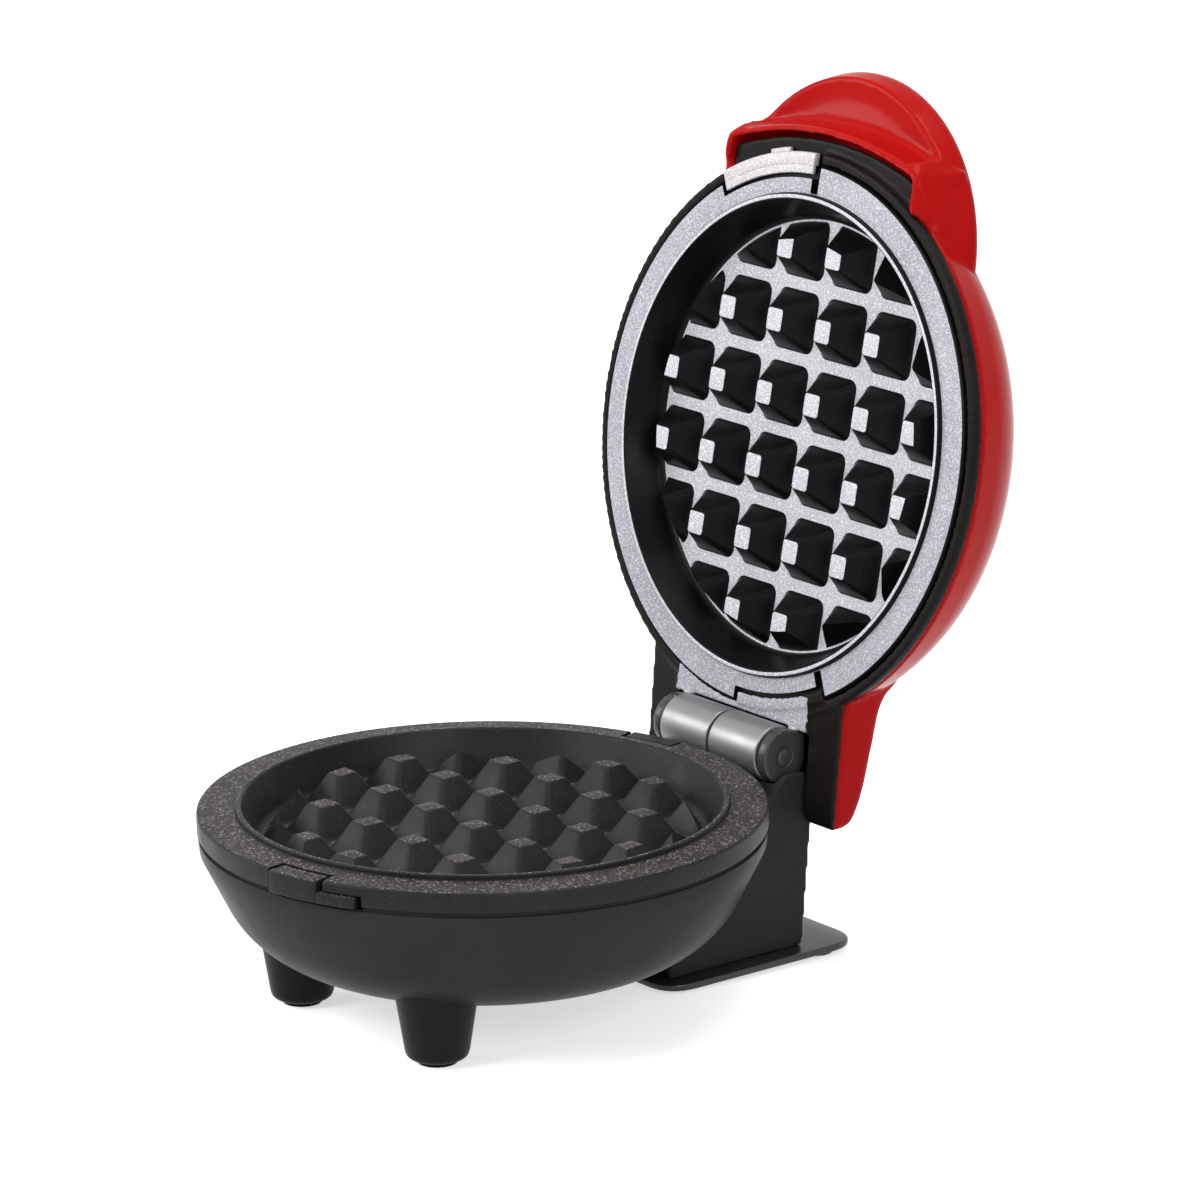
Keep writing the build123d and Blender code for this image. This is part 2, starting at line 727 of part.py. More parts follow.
with BuildPart() as upper_plate:
    add(on_upper(cook_plate(lid_plate_r, lid_skirt_h, (upper_notch, upper_rear_notch), ())))
upper_plate.part.label = "upper_plate"
export_step(raised(upper_plate.part), "parts/upper_plate.step")

for make, name in ((heater, "heater"), (heat_tray, "tray"), (tray_screws, "tray_screws"),
                   (heat_switch, "thermostat"), (heat_fuse, "thermal_fuse")):
    with BuildPart() as lower_piece:
        add(on_lower(make()))
    lower_piece.part.label = f"lower_{name}"
    export_step(standing(lower_piece.part), f"parts/lower_{name}.step")

    with BuildPart() as upper_piece:
        add(on_upper(make()))
    upper_piece.part.label = f"upper_{name}"
    export_step(raised(upper_piece.part), f"parts/upper_{name}.step")

liner_face_z = rim_z + liner_face_rise
with BuildPart() as lid_liner:
    for low_x, high_x in ((-hood_half, -arm_in_x), (arm_in_x, hood_half)):
        add(slab(((hood_low_y, liner_face_z),
                  (hood_end_y - liner_arm_drop, rim_z + hood_end_rise - liner_arm_drop),
                  (hood_end_y, rim_z + hood_end_rise), (hood_low_y, rim_z + hood_low_rise)), low_x, high_x))
    for low_x, high_x in ((-knuckle_out, -knuckle_in), (knuckle_in, knuckle_out)):
        add(drum(knuckle_r, low_x, high_x))
        add(slab(((hood_low_y + lip_h, liner_face_z), (hinge_y - knuckle_r / 2, liner_face_z),
                  (hinge_y - knuckle_r / 3, hinge_z + knuckle_r * 0.9), (hinge_y - knuckle_r, lid_rim_z),
                  (hood_low_y + lip_h, lid_rim_z)), low_x, high_x))
        add(drum(pin_r + run_gap, low_x, high_x), mode=Mode.SUBTRACT)
    add(disc(lid_plate_r + move_gap, rim_z, rim_z + seat_rise), mode=Mode.SUBTRACT)
    with BuildSketch(Plane.XY.offset(liner_face_z)):
        Circle(liner_r)
        with Locations((0, (hood_low_y + hinge_y - knuckle_r) / 2)):
            Rectangle(2 * arm_in_x, hinge_y - knuckle_r - hood_low_y)
        Circle(lid_plate_r + move_gap, mode=Mode.SUBTRACT)
    extrude(amount=lid_rim_rise - liner_face_rise)
    with BuildSketch(Plane.XY.offset(rim_z + seat_rise)):
        Circle(liner_r - lid_wall)
        Circle(liner_open_r, mode=Mode.SUBTRACT)
    extrude(amount=lid_rim_rise - seat_rise)
    with BuildSketch(Plane.XY.offset(rim_z + seat_rise)):
        Circle(lid_r - lid_wall - 3 * fit_gap)
        Circle(liner_open_r, mode=Mode.SUBTRACT)
    extrude(amount=liner_web_t)
    with BuildSketch(Plane.XY.offset(lid_rim_z - liner_web_t)):
        add(brim_face(brim_wall + fit_gap, Plane.XY))
        Circle(liner_r - lid_wall, mode=Mode.SUBTRACT)
    extrude(amount=liner_web_t)
    add(on_upper(notch_tab(upper_rear_notch[0] + slot_deg, upper_rear_notch[1] - slot_deg,
                           lid_skirt_h, liner_r - lid_wall)))
    add(drum(barrel_r + move_gap, -barrel_half - move_gap, barrel_half + move_gap), mode=Mode.SUBTRACT)
    add(sector(notch_r + notch_gap, catch_out + wall,
               upper_notch[0] + slot_deg / 2, upper_notch[1] - slot_deg,
               liner_face_z - wall, lid_rim_z - liner_web_t), mode=Mode.SUBTRACT)
lid_liner.part.label = "lid_liner"
export_step(raised(lid_liner.part), "parts/lid_liner.step")

finger_half = degrees(finger_w / 2 / catch_out)
with BuildPart() as lid_catch_block:
    add(notch_tab(upper_notch[0] + slot_deg, upper_notch[1] - upper_slot_deg, lid_catch_drop, catch_out))
    add(sector(catch_out - finger_out, catch_out + finger_out, finger_deg - finger_half,
               finger_deg + finger_half, -lid_catch_drop, -nose_t))
with BuildPart() as upper_catch:
    add(on_upper(lid_catch_block.part))
upper_catch.part.label = "upper_catch"
export_step(raised(upper_catch.part), "parts/upper_catch.step")

with BuildPart() as hood:
    add(slab(((hood_low_y, rim_z + hood_low_rise), (hood_end_y, rim_z + hood_end_rise),
              (hood_tip_y, rim_z + hood_tip_rise), (hood_top_y, rim_z + hood_top_rise),
              (hood_root_y, rim_z + hood_root_rise), (hood_root_y, rim_z + hood_low_rise)),
             -hood_half, hood_half))
    side_edges = hood.edges().filter_by(lambda edge: abs(edge.center().X) > hood_half - run_gap)
    fillet(side_edges.sort_by(Axis.Y)[-2:], hood_round)
    under_top = ((hood_tip_y - hood_wall, rim_z + hood_tip_rise - hood_wall),
                 (hood_top_y - hood_wall / 3, rim_z + hood_top_rise - hood_wall),
                 (hood_root_y, rim_z + hood_root_rise - hood_wall), (hood_root_y, rim_z))
    for low_x, high_x in ((-hood_half + hood_wall, -arm_in_x - hood_wall),
                          (arm_in_x + hood_wall, hood_half - hood_wall)):
        add(slab(((hood_end_y - hood_wall, rim_z),
                  (hood_end_y - hood_wall, rim_z + hood_end_rise - hood_wall / 2),
                  *under_top), low_x, high_x), mode=Mode.SUBTRACT)
    add(slab(((foot_back_y, rim_z), (foot_back_y, rim_z + hood_tip_rise - 2 * hood_wall), *under_top),
             -arm_in_x, arm_in_x), mode=Mode.SUBTRACT)
    add(dome_inside, mode=Mode.SUBTRACT)

with BuildPart() as grip:
    with BuildSketch(Plane.XY.offset(rim_z + brim_low_rise)):
        add(brim_face(0, Plane.XY))
    with BuildSketch(Plane.XY.offset(rim_z + brim_top_rise)):
        add(brim_face(-brim_flare, Plane.XY))
    loft(ruled=True)
    with BuildSketch(Plane.XY.offset(rim_z + brim_top_rise)):
        add(brim_face(-brim_flare, Plane.XY))
    with BuildSketch(Plane.XY.offset(rim_z + nose_edge_rise)):
        add(nose_face())
    loft(ruled=True)
    with BuildSketch(Plane.XY.offset(rim_z + nose_edge_rise)):
        with Locations((0, nose_y)):
            Circle(nose_r)
    with BuildSketch(Plane.XY.offset(rim_z + nose_edge_rise + nose_edge_t)):
        with Locations((0, nose_y)):
            Circle(nose_r)
    with BuildSketch(Plane.XY.offset(rim_z + nose_top_rise)):
        with Locations((0, nose_y)):
            Circle(nose_top_r)
    loft(ruled=True)
    add(finger_scoop(), mode=Mode.SUBTRACT)
    with BuildSketch(Plane.XY.offset(rim_z)):
        add(brim_face(brim_wall, Plane.XY))
    extrude(amount=brim_top_rise, mode=Mode.SUBTRACT)
    add(dome_inside, mode=Mode.SUBTRACT)

with BuildPart() as lid_shell:
    add(dome_outside)
    add(dome_inside, mode=Mode.SUBTRACT)
    add(hood.part)
    add(grip.part)
    add(disc(liner_r + fit_gap, rim_z, lid_rim_z), mode=Mode.SUBTRACT)
    add(sector(lid_plate_r, catch_out + catch_travel + move_gap, upper_notch[0] - slot_deg,
               upper_notch[1] + slot_deg, rim_z, lid_plane_z + lid_catch_drop + move_gap),
        mode=Mode.SUBTRACT)
    add(disc(lens_r + fit_gap, rim_z + lid_top_rise - 2 * lid_wall, rim_z + lid_top_rise, ((0, lens_y),)),
        mode=Mode.SUBTRACT)
lid_shell.part.label = "lid_shell"
export_step(raised(lid_shell.part), "parts/lid_shell.step")

lens_under = rim_z + lid_top_rise - lid_wall
with BuildPart() as indicator_lens:
    add(disc(lens_r, lens_under, rim_z + lid_top_rise + lens_rise, ((0, lens_y),)))
    add(disc(lens_r + lens_rim, lens_under - lens_rise, lens_under, ((0, lens_y),)))
    add(disc(lamp_r + run_gap, lens_under - lens_rise, lens_under + lens_rise, ((0, lens_y),)),
        mode=Mode.SUBTRACT)
indicator_lens.part.label = "indicator_lens"
export_step(raised(indicator_lens.part), "parts/indicator_lens.step")

with BuildPart() as indicator_lamp:
    add(disc(lamp_r, lens_under - lens_depth, lens_under + lens_rise, ((0, lens_y),)))
indicator_lamp.part.label = "indicator_lamp"
export_step(raised(indicator_lamp.part), "parts/indicator_lamp.step")
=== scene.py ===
"""Looks of the mini waffle maker: its pieces, finishes, studio and camera.

Lengths are written in millimetres about the centre line of the round base, with the
lid closed, and each piece is put in its place in the frame as it is finished.
"""

import json
import logging
import math
from contextlib import contextmanager
from dataclasses import dataclass, field
from enum import Enum
from typing import Callable, Dict, Iterator, List, Optional, Sequence, Tuple, Union

import bmesh
import bpy
import numpy as np
from mathutils import Matrix, Vector

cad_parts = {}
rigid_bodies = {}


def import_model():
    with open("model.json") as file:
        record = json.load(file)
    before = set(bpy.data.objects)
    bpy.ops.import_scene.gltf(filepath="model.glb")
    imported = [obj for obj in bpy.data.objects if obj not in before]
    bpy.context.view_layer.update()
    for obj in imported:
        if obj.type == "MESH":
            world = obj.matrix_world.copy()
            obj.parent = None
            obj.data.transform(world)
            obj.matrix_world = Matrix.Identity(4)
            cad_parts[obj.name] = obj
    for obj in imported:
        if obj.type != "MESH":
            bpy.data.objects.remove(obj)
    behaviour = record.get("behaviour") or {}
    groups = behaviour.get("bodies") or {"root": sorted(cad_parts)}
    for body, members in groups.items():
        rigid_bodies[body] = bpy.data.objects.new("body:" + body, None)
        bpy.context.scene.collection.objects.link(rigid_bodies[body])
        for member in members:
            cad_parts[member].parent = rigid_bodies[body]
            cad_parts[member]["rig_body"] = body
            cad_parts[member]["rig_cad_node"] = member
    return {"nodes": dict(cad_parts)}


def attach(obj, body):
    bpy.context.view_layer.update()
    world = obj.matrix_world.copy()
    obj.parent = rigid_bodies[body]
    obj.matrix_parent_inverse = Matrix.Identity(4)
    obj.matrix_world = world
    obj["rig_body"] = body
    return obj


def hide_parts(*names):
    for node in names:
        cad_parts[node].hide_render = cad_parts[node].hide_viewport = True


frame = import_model()

MM = 0.001
WELD = 1e-6
FINE_WELD = 1e-7
SLIVER_WELD = 4e-5
FLAT_FACING = 0.93
LID_TOP = 31.1
LENS_Y = -20.0
NOTCH_R = 56.8
WHITE = (1.0, 1.0, 1.0, 1.0)
Spot = Tuple[float, float, float]
Flat = Tuple[float, float]
Colour = Tuple[float, float, float]
Piece = bpy.types.Object
Tree = bpy.types.NodeTree
Node = bpy.types.Node
Socket = bpy.types.NodeSocket
Test = Callable[[Vector, Vector], bool]
Rule = Callable[[Vector, Vector], int]

log = logging.getLogger("waffle_maker")


class Pick(Enum):
    """What a selection is made of."""

    FACES = "FACE"
    EDGES = "EDGE"


class Join(Enum):
    """How one form meets another."""

    CUT = "DIFFERENCE"
    KEEP_INSIDE = "INTERSECT"
    ADD = "UNION"


@dataclass(frozen=True)
class Stance:
    """Where the base stands and how the lid is raised."""

    rim_z: float = 44.4
    base_y: float = -26.14
    hinge_y: float = 67.8
    hinge_rise: float = 1.5
    open_angle: float = 101.0
    plates_apart: float = 2.9

    def standing(self) -> Matrix:
        """Return the place of the base."""
        return Matrix.Translation(Vector((0.0, self.base_y, 0.0)) * MM)

    def raised(self) -> Matrix:
        """Return the place of the lid, swung open about the hinge line."""
        hinge = Vector((0.0, self.hinge_y, self.rim_z + self.hinge_rise)) * MM
        swing = Matrix.Rotation(-math.radians(self.open_angle), 4, "X")
        return self.standing() @ Matrix.Translation(hinge) @ swing @ Matrix.Translation(-hinge)

    def on_lower(self) -> Matrix:
        """Return the place of a plate piece in the base, cooking side up."""
        return self.standing() @ Matrix.Translation(Vector((0.0, 0.0, self.rim_z)) * MM)

    def on_upper(self) -> Matrix:
        """Return the place of a plate piece in the lid, cooking side down."""
        plane = Vector((0.0, 0.0, self.rim_z + self.plates_apart)) * MM
        return self.raised() @ Matrix.Translation(plane) @ Matrix.Diagonal((1.0, 1.0, -1.0, 1.0))


STANCE = Stance()


def level(rise: float) -> float:
    """Return the height of a rise above the lower plate's rim."""
    return STANCE.rim_z + rise


def lifted(points: Sequence[Flat]) -> List[Flat]:
    """Return a line of places and rises as places and heights."""
    return [(across, level(rise)) for across, rise in points]


def swept(centre: Flat, across: float, up: float, degrees: float, steps: int) -> List[Flat]:
    """Return an arc that starts above its centre, or below it, and swings outwards."""
    swing = [math.radians(degrees) * n / steps for n in range(steps + 1)]
    return [(centre[0] + across * math.sin(a), centre[1] + up * math.cos(a)) for a in swing]


def softened(points: Sequence[Flat], radii: Dict[int, float], steps: int = 4) -> List[Flat]:
    """Round chosen corners of a flat line.

    Args:
        points: Corners in order.
        radii: Radius for the corners that are rounded, by their place in the line.
        steps: Edges in each rounded corner.

    Returns:
        The line with its corners rounded.
    """
    line: List[Flat] = []
    for place, spot in enumerate(points):
        if place not in radii:
            line.append(spot)
            continue
        here = Vector(spot)
        before = Vector(points[place - 1]) - here
        after = Vector(points[(place + 1) % len(points)]) - here
        reach = min(radii[place], before.length * 0.49, after.length * 0.49)
        start = here + before.normalized() * reach
        end = here + after.normalized() * reach
        for step in range(steps + 1):
            t = step / steps
            curve = start * (1 - t) ** 2 + here * (2 * t * (1 - t)) + end * t ** 2
            line.append((curve.x, curve.y))
    return line


class Bench:
    """Shaping steps that every sub-assembly uses."""

    @staticmethod
    def pick(*pieces: Piece) -> None:
        """Select only these pieces, the first of them active."""
        bpy.ops.object.select_all(action="DESELECT")
        for piece in pieces:
            piece.select_set(True)
        bpy.context.view_layer.objects.active = pieces[0]

    @staticmethod
    @contextmanager
    def editing(piece: Piece) -> Iterator[None]:
        """Hold a piece in edit mode with everything selected."""
        Bench.pick(piece)
        bpy.ops.object.mode_set(mode="EDIT")
        bpy.ops.mesh.select_all(action="SELECT")
        yield
        bpy.ops.object.mode_set(mode="OBJECT")

    @staticmethod
    def close_up(weld: float = 0.0, outwards: bool = True) -> None:
        """Select everything in edit mode, weld it if asked and turn its faces outwards."""
        bpy.ops.mesh.select_all(action="SELECT")
        if weld:
            bpy.ops.mesh.remove_doubles(threshold=weld)
        if outwards:
            bpy.ops.mesh.normals_make_consistent(inside=False)

    @staticmethod
    def choose(kind: Pick, test: Test) -> None:
        """Select faces by centre and normal, or edges by middle and direction, in millimetres."""
        bpy.ops.mesh.select_mode(type=kind.value)
        bpy.ops.mesh.select_all(action="DESELECT")
        mesh = bmesh.from_edit_mesh(bpy.context.edit_object.data)
        if kind is Pick.FACES:
            for face in mesh.faces:
                face.select_set(test(face.calc_center_median() / MM, face.normal))
        else:
            for edge in mesh.edges:
                a, b = (v.co for v in edge.verts)
                edge.select_set(test((a + b) / 2 / MM, (b - a).normalized()))
        bmesh.update_edit_mesh(bpy.context.edit_object.data)

    @staticmethod
    def line(name: str, spots: Sequence[Spot], closed: bool = True) -> Piece:
        """Draw a line of edges by extruding a single point along it.

        Args:
            name: Name of the new piece.
            spots: Places in order, in millimetres.
            closed: Whether the last place joins the first.

        Returns:
            The piece, out of edit mode.
        """
        bpy.ops.object.select_all(action="DESELECT")
        bpy.ops.mesh.primitive_plane_add(size=MM, location=Vector(spots[0]) * MM)
        piece = bpy.context.active_object
        piece.name = name
        piece.data.name = name
        bpy.ops.object.transform_apply(location=True, rotation=True, scale=True)
        route = list(spots) + ([spots[0]] if closed else [])
        with Bench.editing(piece):
            bpy.ops.mesh.select_mode(type="VERT")
            bpy.ops.mesh.merge(type="CENTER")
            for a, b in zip(route, route[1:]):
                step = (Vector(b) - Vector(a)) * MM
                bpy.ops.mesh.extrude_region_move(TRANSFORM_OT_translate={"value": step})
            Bench.close_up(FINE_WELD, False)
        return piece

    @staticmethod
    def spun(line: Piece, steps: int, centre: Spot, axis: Spot) -> Piece:
        """Spin a line of edges once round an axis, with the faces outwards."""
        with Bench.editing(line):
            bpy.ops.mesh.spin(steps=steps, angle=2 * math.pi, center=Vector(centre) * MM, axis=axis)
            Bench.close_up(WELD)
        return line

    @staticmethod
    def turned(name: str, profile: Sequence[Flat], steps: int = 144, centre: Flat = (0.0, 0.0),
               closed: bool = False) -> Piece:
        """Spin a profile of radius and height about an upright line.

        Args:
            name: Name of the new piece.
            profile: Radius and height in order, both ends on the line unless closed.
            steps: Facets round the piece.
            centre: Where the upright line stands.
            closed: Whether the profile is a ring clear of the line.

        Returns:
            The closed piece.
        """
        x, y = centre
        line = Bench.line(name, [(x + r, y, z) for r, z in profile], closed)
        return Bench.spun(line, steps, (x, y, 0.0), (0, 0, 1))

    @staticmethod
    def drum(name: str, profile: Sequence[Flat], centre: Flat, steps: int = 72) -> Piece:
        """Spin a profile of place along X and radius about a line along X.

        Args:
            name: Name of the new piece.
            profile: Place along X and radius in order, both ends on the line.
            centre: Y and Z of the line.
            steps: Facets round the piece.

        Returns:
            The closed piece.
        """
        y, z = centre
        line = Bench.line(name, [(x, y, z + r) for x, r in profile], False)
        return Bench.spun(line, steps, (0.0, y, z), (1, 0, 0))

    @staticmethod
    def raised_face(name: str, spots: Sequence[Spot], travel: Spot) -> Piece:
        """Fill a closed line and extrude it.

        Args:
            name: Name of the new piece.
            spots: Corners of the face.
            travel: How far the face is drawn out.

        Returns:
            The closed piece with its faces outwards.
        """
        piece = Bench.line(name, spots)
        with Bench.editing(piece):
            bpy.ops.mesh.edge_face_add()
            bpy.ops.mesh.extrude_region_move(TRANSFORM_OT_translate={"value": Vector(travel) * MM})
            Bench.close_up()
        return piece

    @staticmethod
    def slab(name: str, outline: Sequence[Flat], low_x: float, high_x: float) -> Piece:
        """Draw a side outline of Y and Z out along X."""
        face = [(low_x, y, z) for y, z in outline]
        return Bench.raised_face(name, face, (high_x - low_x, 0.0, 0.0))

    @staticmethod
    def sector(name: str, radii: Flat, angles: Flat, heights: Flat) -> Piece:
        """Curved block between two radii and two angles, counted from the front.

        Args:
            name: Name of the new piece.
            radii: Inner and outer radius.
            angles: First and last angle in degrees.
            heights: Low and high height.

        Returns:
            The closed piece.
        """
        (near, far), (start, end), (low, high) = radii, angles, heights
        count = max(4, round((end - start) / 2.5))
        sweep = [math.radians(start - 90 + (end - start) * n / count) for n in range(count + 1)]
        outer = [(far * math.cos(a), far * math.sin(a), low) for a in sweep]
        inner = [(near * math.cos(a), near * math.sin(a), low) for a in reversed(sweep)]
        return Bench.raised_face(name, outer + inner, (0.0, 0.0, high - low))

    @staticmethod
    def merge(piece: Piece, *others: Piece) -> Piece:
        """Join the others into the piece."""
        Bench.pick(piece, *others)
        bpy.ops.object.join()
        return piece

    @staticmethod
    def applied(piece: Piece, kind: str, **settings: object) -> Piece:
        """Add a modifier with its settings and apply it."""
        Bench.pick(piece)
        step = piece.modifiers.new(kind.lower(), kind)
        for label, value in settings.items():
            setattr(step, label, value)
        bpy.ops.object.modifier_apply(modifier=step.name)
        return piece

    @staticmethod
    def meet(piece: Piece, tool: Piece, how: Join = Join.CUT, keep: bool = False) -> Piece:
        """Cut, add or trim the piece with a tool, which is then thrown away unless kept."""
        Bench.applied(piece, "BOOLEAN", operation=how.value, object=tool, solver="EXACT")
        if not keep:
            bpy.data.objects.remove(tool)
        return piece

    @staticmethod
    def in_order(piece: Piece) -> Piece:
        """Sort what an exact boolean leaves by place, as its own order changes from run to run."""
        form = bmesh.new()
        form.from_mesh(piece.data)
        for items in (form.verts, form.edges, form.faces):
            placed = sorted(items, key=lambda item: sorted(
                tuple(vert.co) for vert in getattr(item, "verts", (item,))))
            rank = {item: place for place, item in enumerate(placed)}
            items.sort(key=rank.get)
        form.to_mesh(piece.data)
        form.free()
        return piece

    @staticmethod
    def round_edges(piece: Piece, radius: float, steps: int, test: Test) -> Piece:
        """Bevel the edges that pass the test."""
        with Bench.editing(piece):
            Bench.choose(Pick.EDGES, test)
            bpy.ops.mesh.bevel(offset=radius * MM, segments=steps, affect="EDGES")
            Bench.close_up(FINE_WELD, False)
        return piece

    @staticmethod
    def soft_corners(piece: Piece, radius: float, steps: int = 3, angle: float = 40.0) -> Piece:
        """Bevel every edge sharper than the angle."""
        return Bench.applied(piece, "BEVEL", width=radius * MM, segments=steps,
                             limit_method="ANGLE", angle_limit=math.radians(angle),
                             harden_normals=False)

    @staticmethod
    def moulded(piece: Piece, grid: float, passes: int) -> Piece:
        """Melt overlapping forms into one skin with softly rounded corners."""
        Bench.applied(piece, "REMESH", mode="VOXEL", voxel_size=grid * MM)
        return Bench.applied(piece, "SMOOTH", factor=0.5, iterations=passes)

    @staticmethod
    def true_up(piece: Piece, profile: Sequence[Flat], centre: Flat = (0.0, 0.0),
                reach: float = 0.5) -> Piece:
        """Bring the points of a melted skin back onto a turned profile that they lie near.

        Args:
            piece: The melted piece, in its place with the lid closed.
            profile: Radius and height of the profile in order.
            centre: Where the upright line of the profile stands.
            reach: Points further off than this stay, and the pull fades out towards it.

        Returns:
            The piece.
        """
        count = len(piece.data.vertices)
        spots = np.empty(count * 3)
        piece.data.vertices.foreach_get("co", spots)
        spots = spots.reshape(-1, 3) / MM
        spots[:, :2] -= centre
        radius = np.maximum(np.hypot(spots[:, 0], spots[:, 1]), 1e-6)
        flat = np.stack([radius, spots[:, 2]], 1)
        near, best = flat.copy(), np.full(count, 1e9)
        line = np.array(profile)
        for place, (a, b) in enumerate(zip(line, line[1:])):
            along = ((flat - a) @ (b - a)) / ((b - a) @ (b - a))
            past = np.zeros(count, bool)
            if place == 0:
                past = along < 0
            elif place == len(line) - 2:
                past = along > 1
            spot = a + np.clip(along, 0, 1)[:, None] * (b - a)
            gap = np.where(past, 1e9, np.linalg.norm(flat - spot, axis=1))
            closer = gap < best
            best[closer] = gap[closer]
            near[closer] = spot[closer]
        share = np.clip((reach - best) / (reach * 0.6), 0, 1)[:, None]
        moved = flat + (near - flat) * share
        spots[:, :2] *= (moved[:, 0] / radius)[:, None]
        spots[:, 2] = moved[:, 1]
        spots[:, :2] += centre
        piece.data.vertices.foreach_set("co", (spots * MM).ravel())
        piece.data.update()
        return piece

    @staticmethod
    def copy_of(node: str, name: str) -> Piece:
        """Copy a solid of the frame and merge its loose triangles."""
        source = frame["nodes"][node]
        piece = source.copy()
        piece.data = source.data.copy()
        piece.name = name
        piece.data.name = name
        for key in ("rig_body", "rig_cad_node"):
            if key in piece:
                del piece[key]
        piece.parent = None
        piece.data.materials.clear()
        bpy.context.scene.collection.objects.link(piece)
        with Bench.editing(piece):
            Bench.close_up(2 * WELD)
        return piece

    @staticmethod
    def settle(piece: Piece, place: Optional[Matrix], angle: Optional[float] = 30.0) -> Piece:
        """Put a finished piece in its place with its faces outwards.

        Args:
            piece: The finished piece.
            place: Its place in the frame, or None if it is already there.
            angle: Shading stays sharp past this angle, or None for smooth all over.

        Returns:
            The piece, with its place in its mesh.
        """
        Bench.pick(piece)
        if place is not None:
            piece.data.transform(place)
        form = bmesh.new()
        form.from_mesh(piece.data)
        inside_out = form.calc_volume(signed=True) < 0
        form.free()
        if inside_out:
            with Bench.editing(piece):
                bpy.ops.mesh.flip_normals()
        if angle is None:
            bpy.ops.object.shade_smooth()
        else:
            bpy.ops.object.shade_smooth_by_angle(angle=math.radians(angle))
        return piece


def feed(tree: Tree, node: Node, inputs: Dict[Union[str, int], object]) -> Node:
    """Set each input of a node to a value, or link it to the socket that feeds it."""
    for label, given in inputs.items():
        if isinstance(given, Socket):
            tree.links.new(given, node.inputs[label])
        else:
            node.inputs[label].default_value = given
    return node


def wired(tree: Tree, kind: str, inputs: Dict[Union[str, int], object], **settings: object) -> Node:
    """Add a node to a tree.

    Args:
        tree: Where the node goes.
        kind: The node's type without its first word, which all shader nodes share.
        inputs: A value or a socket for each input that is used.
        **settings: The node's own settings.

    Returns:
        The new node.
    """
    node = tree.nodes.new("ShaderNode" + kind)
    for label, value in settings.items():
        setattr(node, label, value)
    return feed(tree, node, inputs)


class Effects:
    """Shader groups that several finishes use, each built once."""

    def __init__(self) -> None:
        """Build the groups."""
        self.drift = self._drift()
        self.flecks = self._flecks()
        self.grain = self._grain()

    @staticmethod
    def _group(name: str, inputs: Dict[str, float], output: str) -> Tuple[Tree, Node, Node]:
        """Start a group with number inputs and one number output."""
        tree = bpy.data.node_groups.new(name, "ShaderNodeTree")
        number = {"socket_type": "NodeSocketFloat"}
        for label, value in inputs.items():
            socket = tree.interface.new_socket(name=label, in_out="INPUT", **number)
            socket.default_value = value
        tree.interface.new_socket(name=output, in_out="OUTPUT", **number)
        return tree, tree.nodes.new("NodeGroupInput"), tree.nodes.new("NodeGroupOutput")

    @staticmethod
    def _noise(tree: Tree, scale: Socket, detail: float, rough: float) -> Socket:
        """Add a noise that lies in the piece's own coordinates."""
        place = wired(tree, "TexCoord", {}).outputs["Object"]
        return wired(tree, "TexNoise", {"Vector": place, "Scale": scale, "Detail": detail,
                                        "Roughness": rough}).outputs["Fac"]

    @staticmethod
    def _offset(tree: Tree, how: str, start: float, by: Socket) -> Socket:
        """Add a socket to a number, or take it away."""
        return wired(tree, "Math", {0: start, 1: by}, operation=how).outputs[0]

    @staticmethod
    def _banded(tree: Tree, noise: Socket, low: Socket, high: Socket, out: Node) -> Tree:
        """Stretch what a noise has between two levels over the whole mask."""
        band = wired(tree, "MapRange", {"Value": noise, "From Min": low, "From Max": high})
        feed(tree, out, {"Mask": band.outputs["Result"]})
        return tree

    def _drift(self) -> Tree:
        """Slow cloudy change, as handling and moulding leave."""
        tree, given, out = self._group("slow_drift", {"Scale": 30.0, "Spread": 0.2}, "Mask")
        noise = self._noise(tree, given.outputs["Scale"], 4.0, 0.55)
        low, high = (self._offset(tree, how, 0.5, given.outputs["Spread"])
                     for how in ("SUBTRACT", "ADD"))
        return self._banded(tree, noise, low, high, out)

    def _flecks(self) -> Tree:
        """Small bright flecks with soft edges, as in a sprayed coating."""
        tree, given, out = self._group("coat_flecks", {"Scale": 1800.0, "Share": 0.5}, "Mask")
        noise = self._noise(tree, given.outputs["Scale"], 2.0, 0.7)
        share = given.outputs["Share"]
        return self._banded(tree, noise, share, self._offset(tree, "ADD", 0.14, share), out)

    def _grain(self) -> Tree:
        """Fine pebbled grain of a moulded or cast face."""
        tree, given, out = self._group("fine_grain", {"Scale": 1500.0, "Pits": 0.5}, "Height")
        scale = given.outputs["Scale"]
        noise = self._noise(tree, scale, 3.0, 0.6)
        place = wired(tree, "TexCoord", {}).outputs["Object"]
        cells = wired(tree, "TexVoronoi", {"Vector": place, "Scale": scale}, feature="SMOOTH_F1")
        blend = wired(tree, "Mix", {0: given.outputs["Pits"], 2: noise,
                                    3: cells.outputs["Distance"]}, data_type="FLOAT")
        feed(tree, out, {"Height": blend.outputs[0]})
        return tree


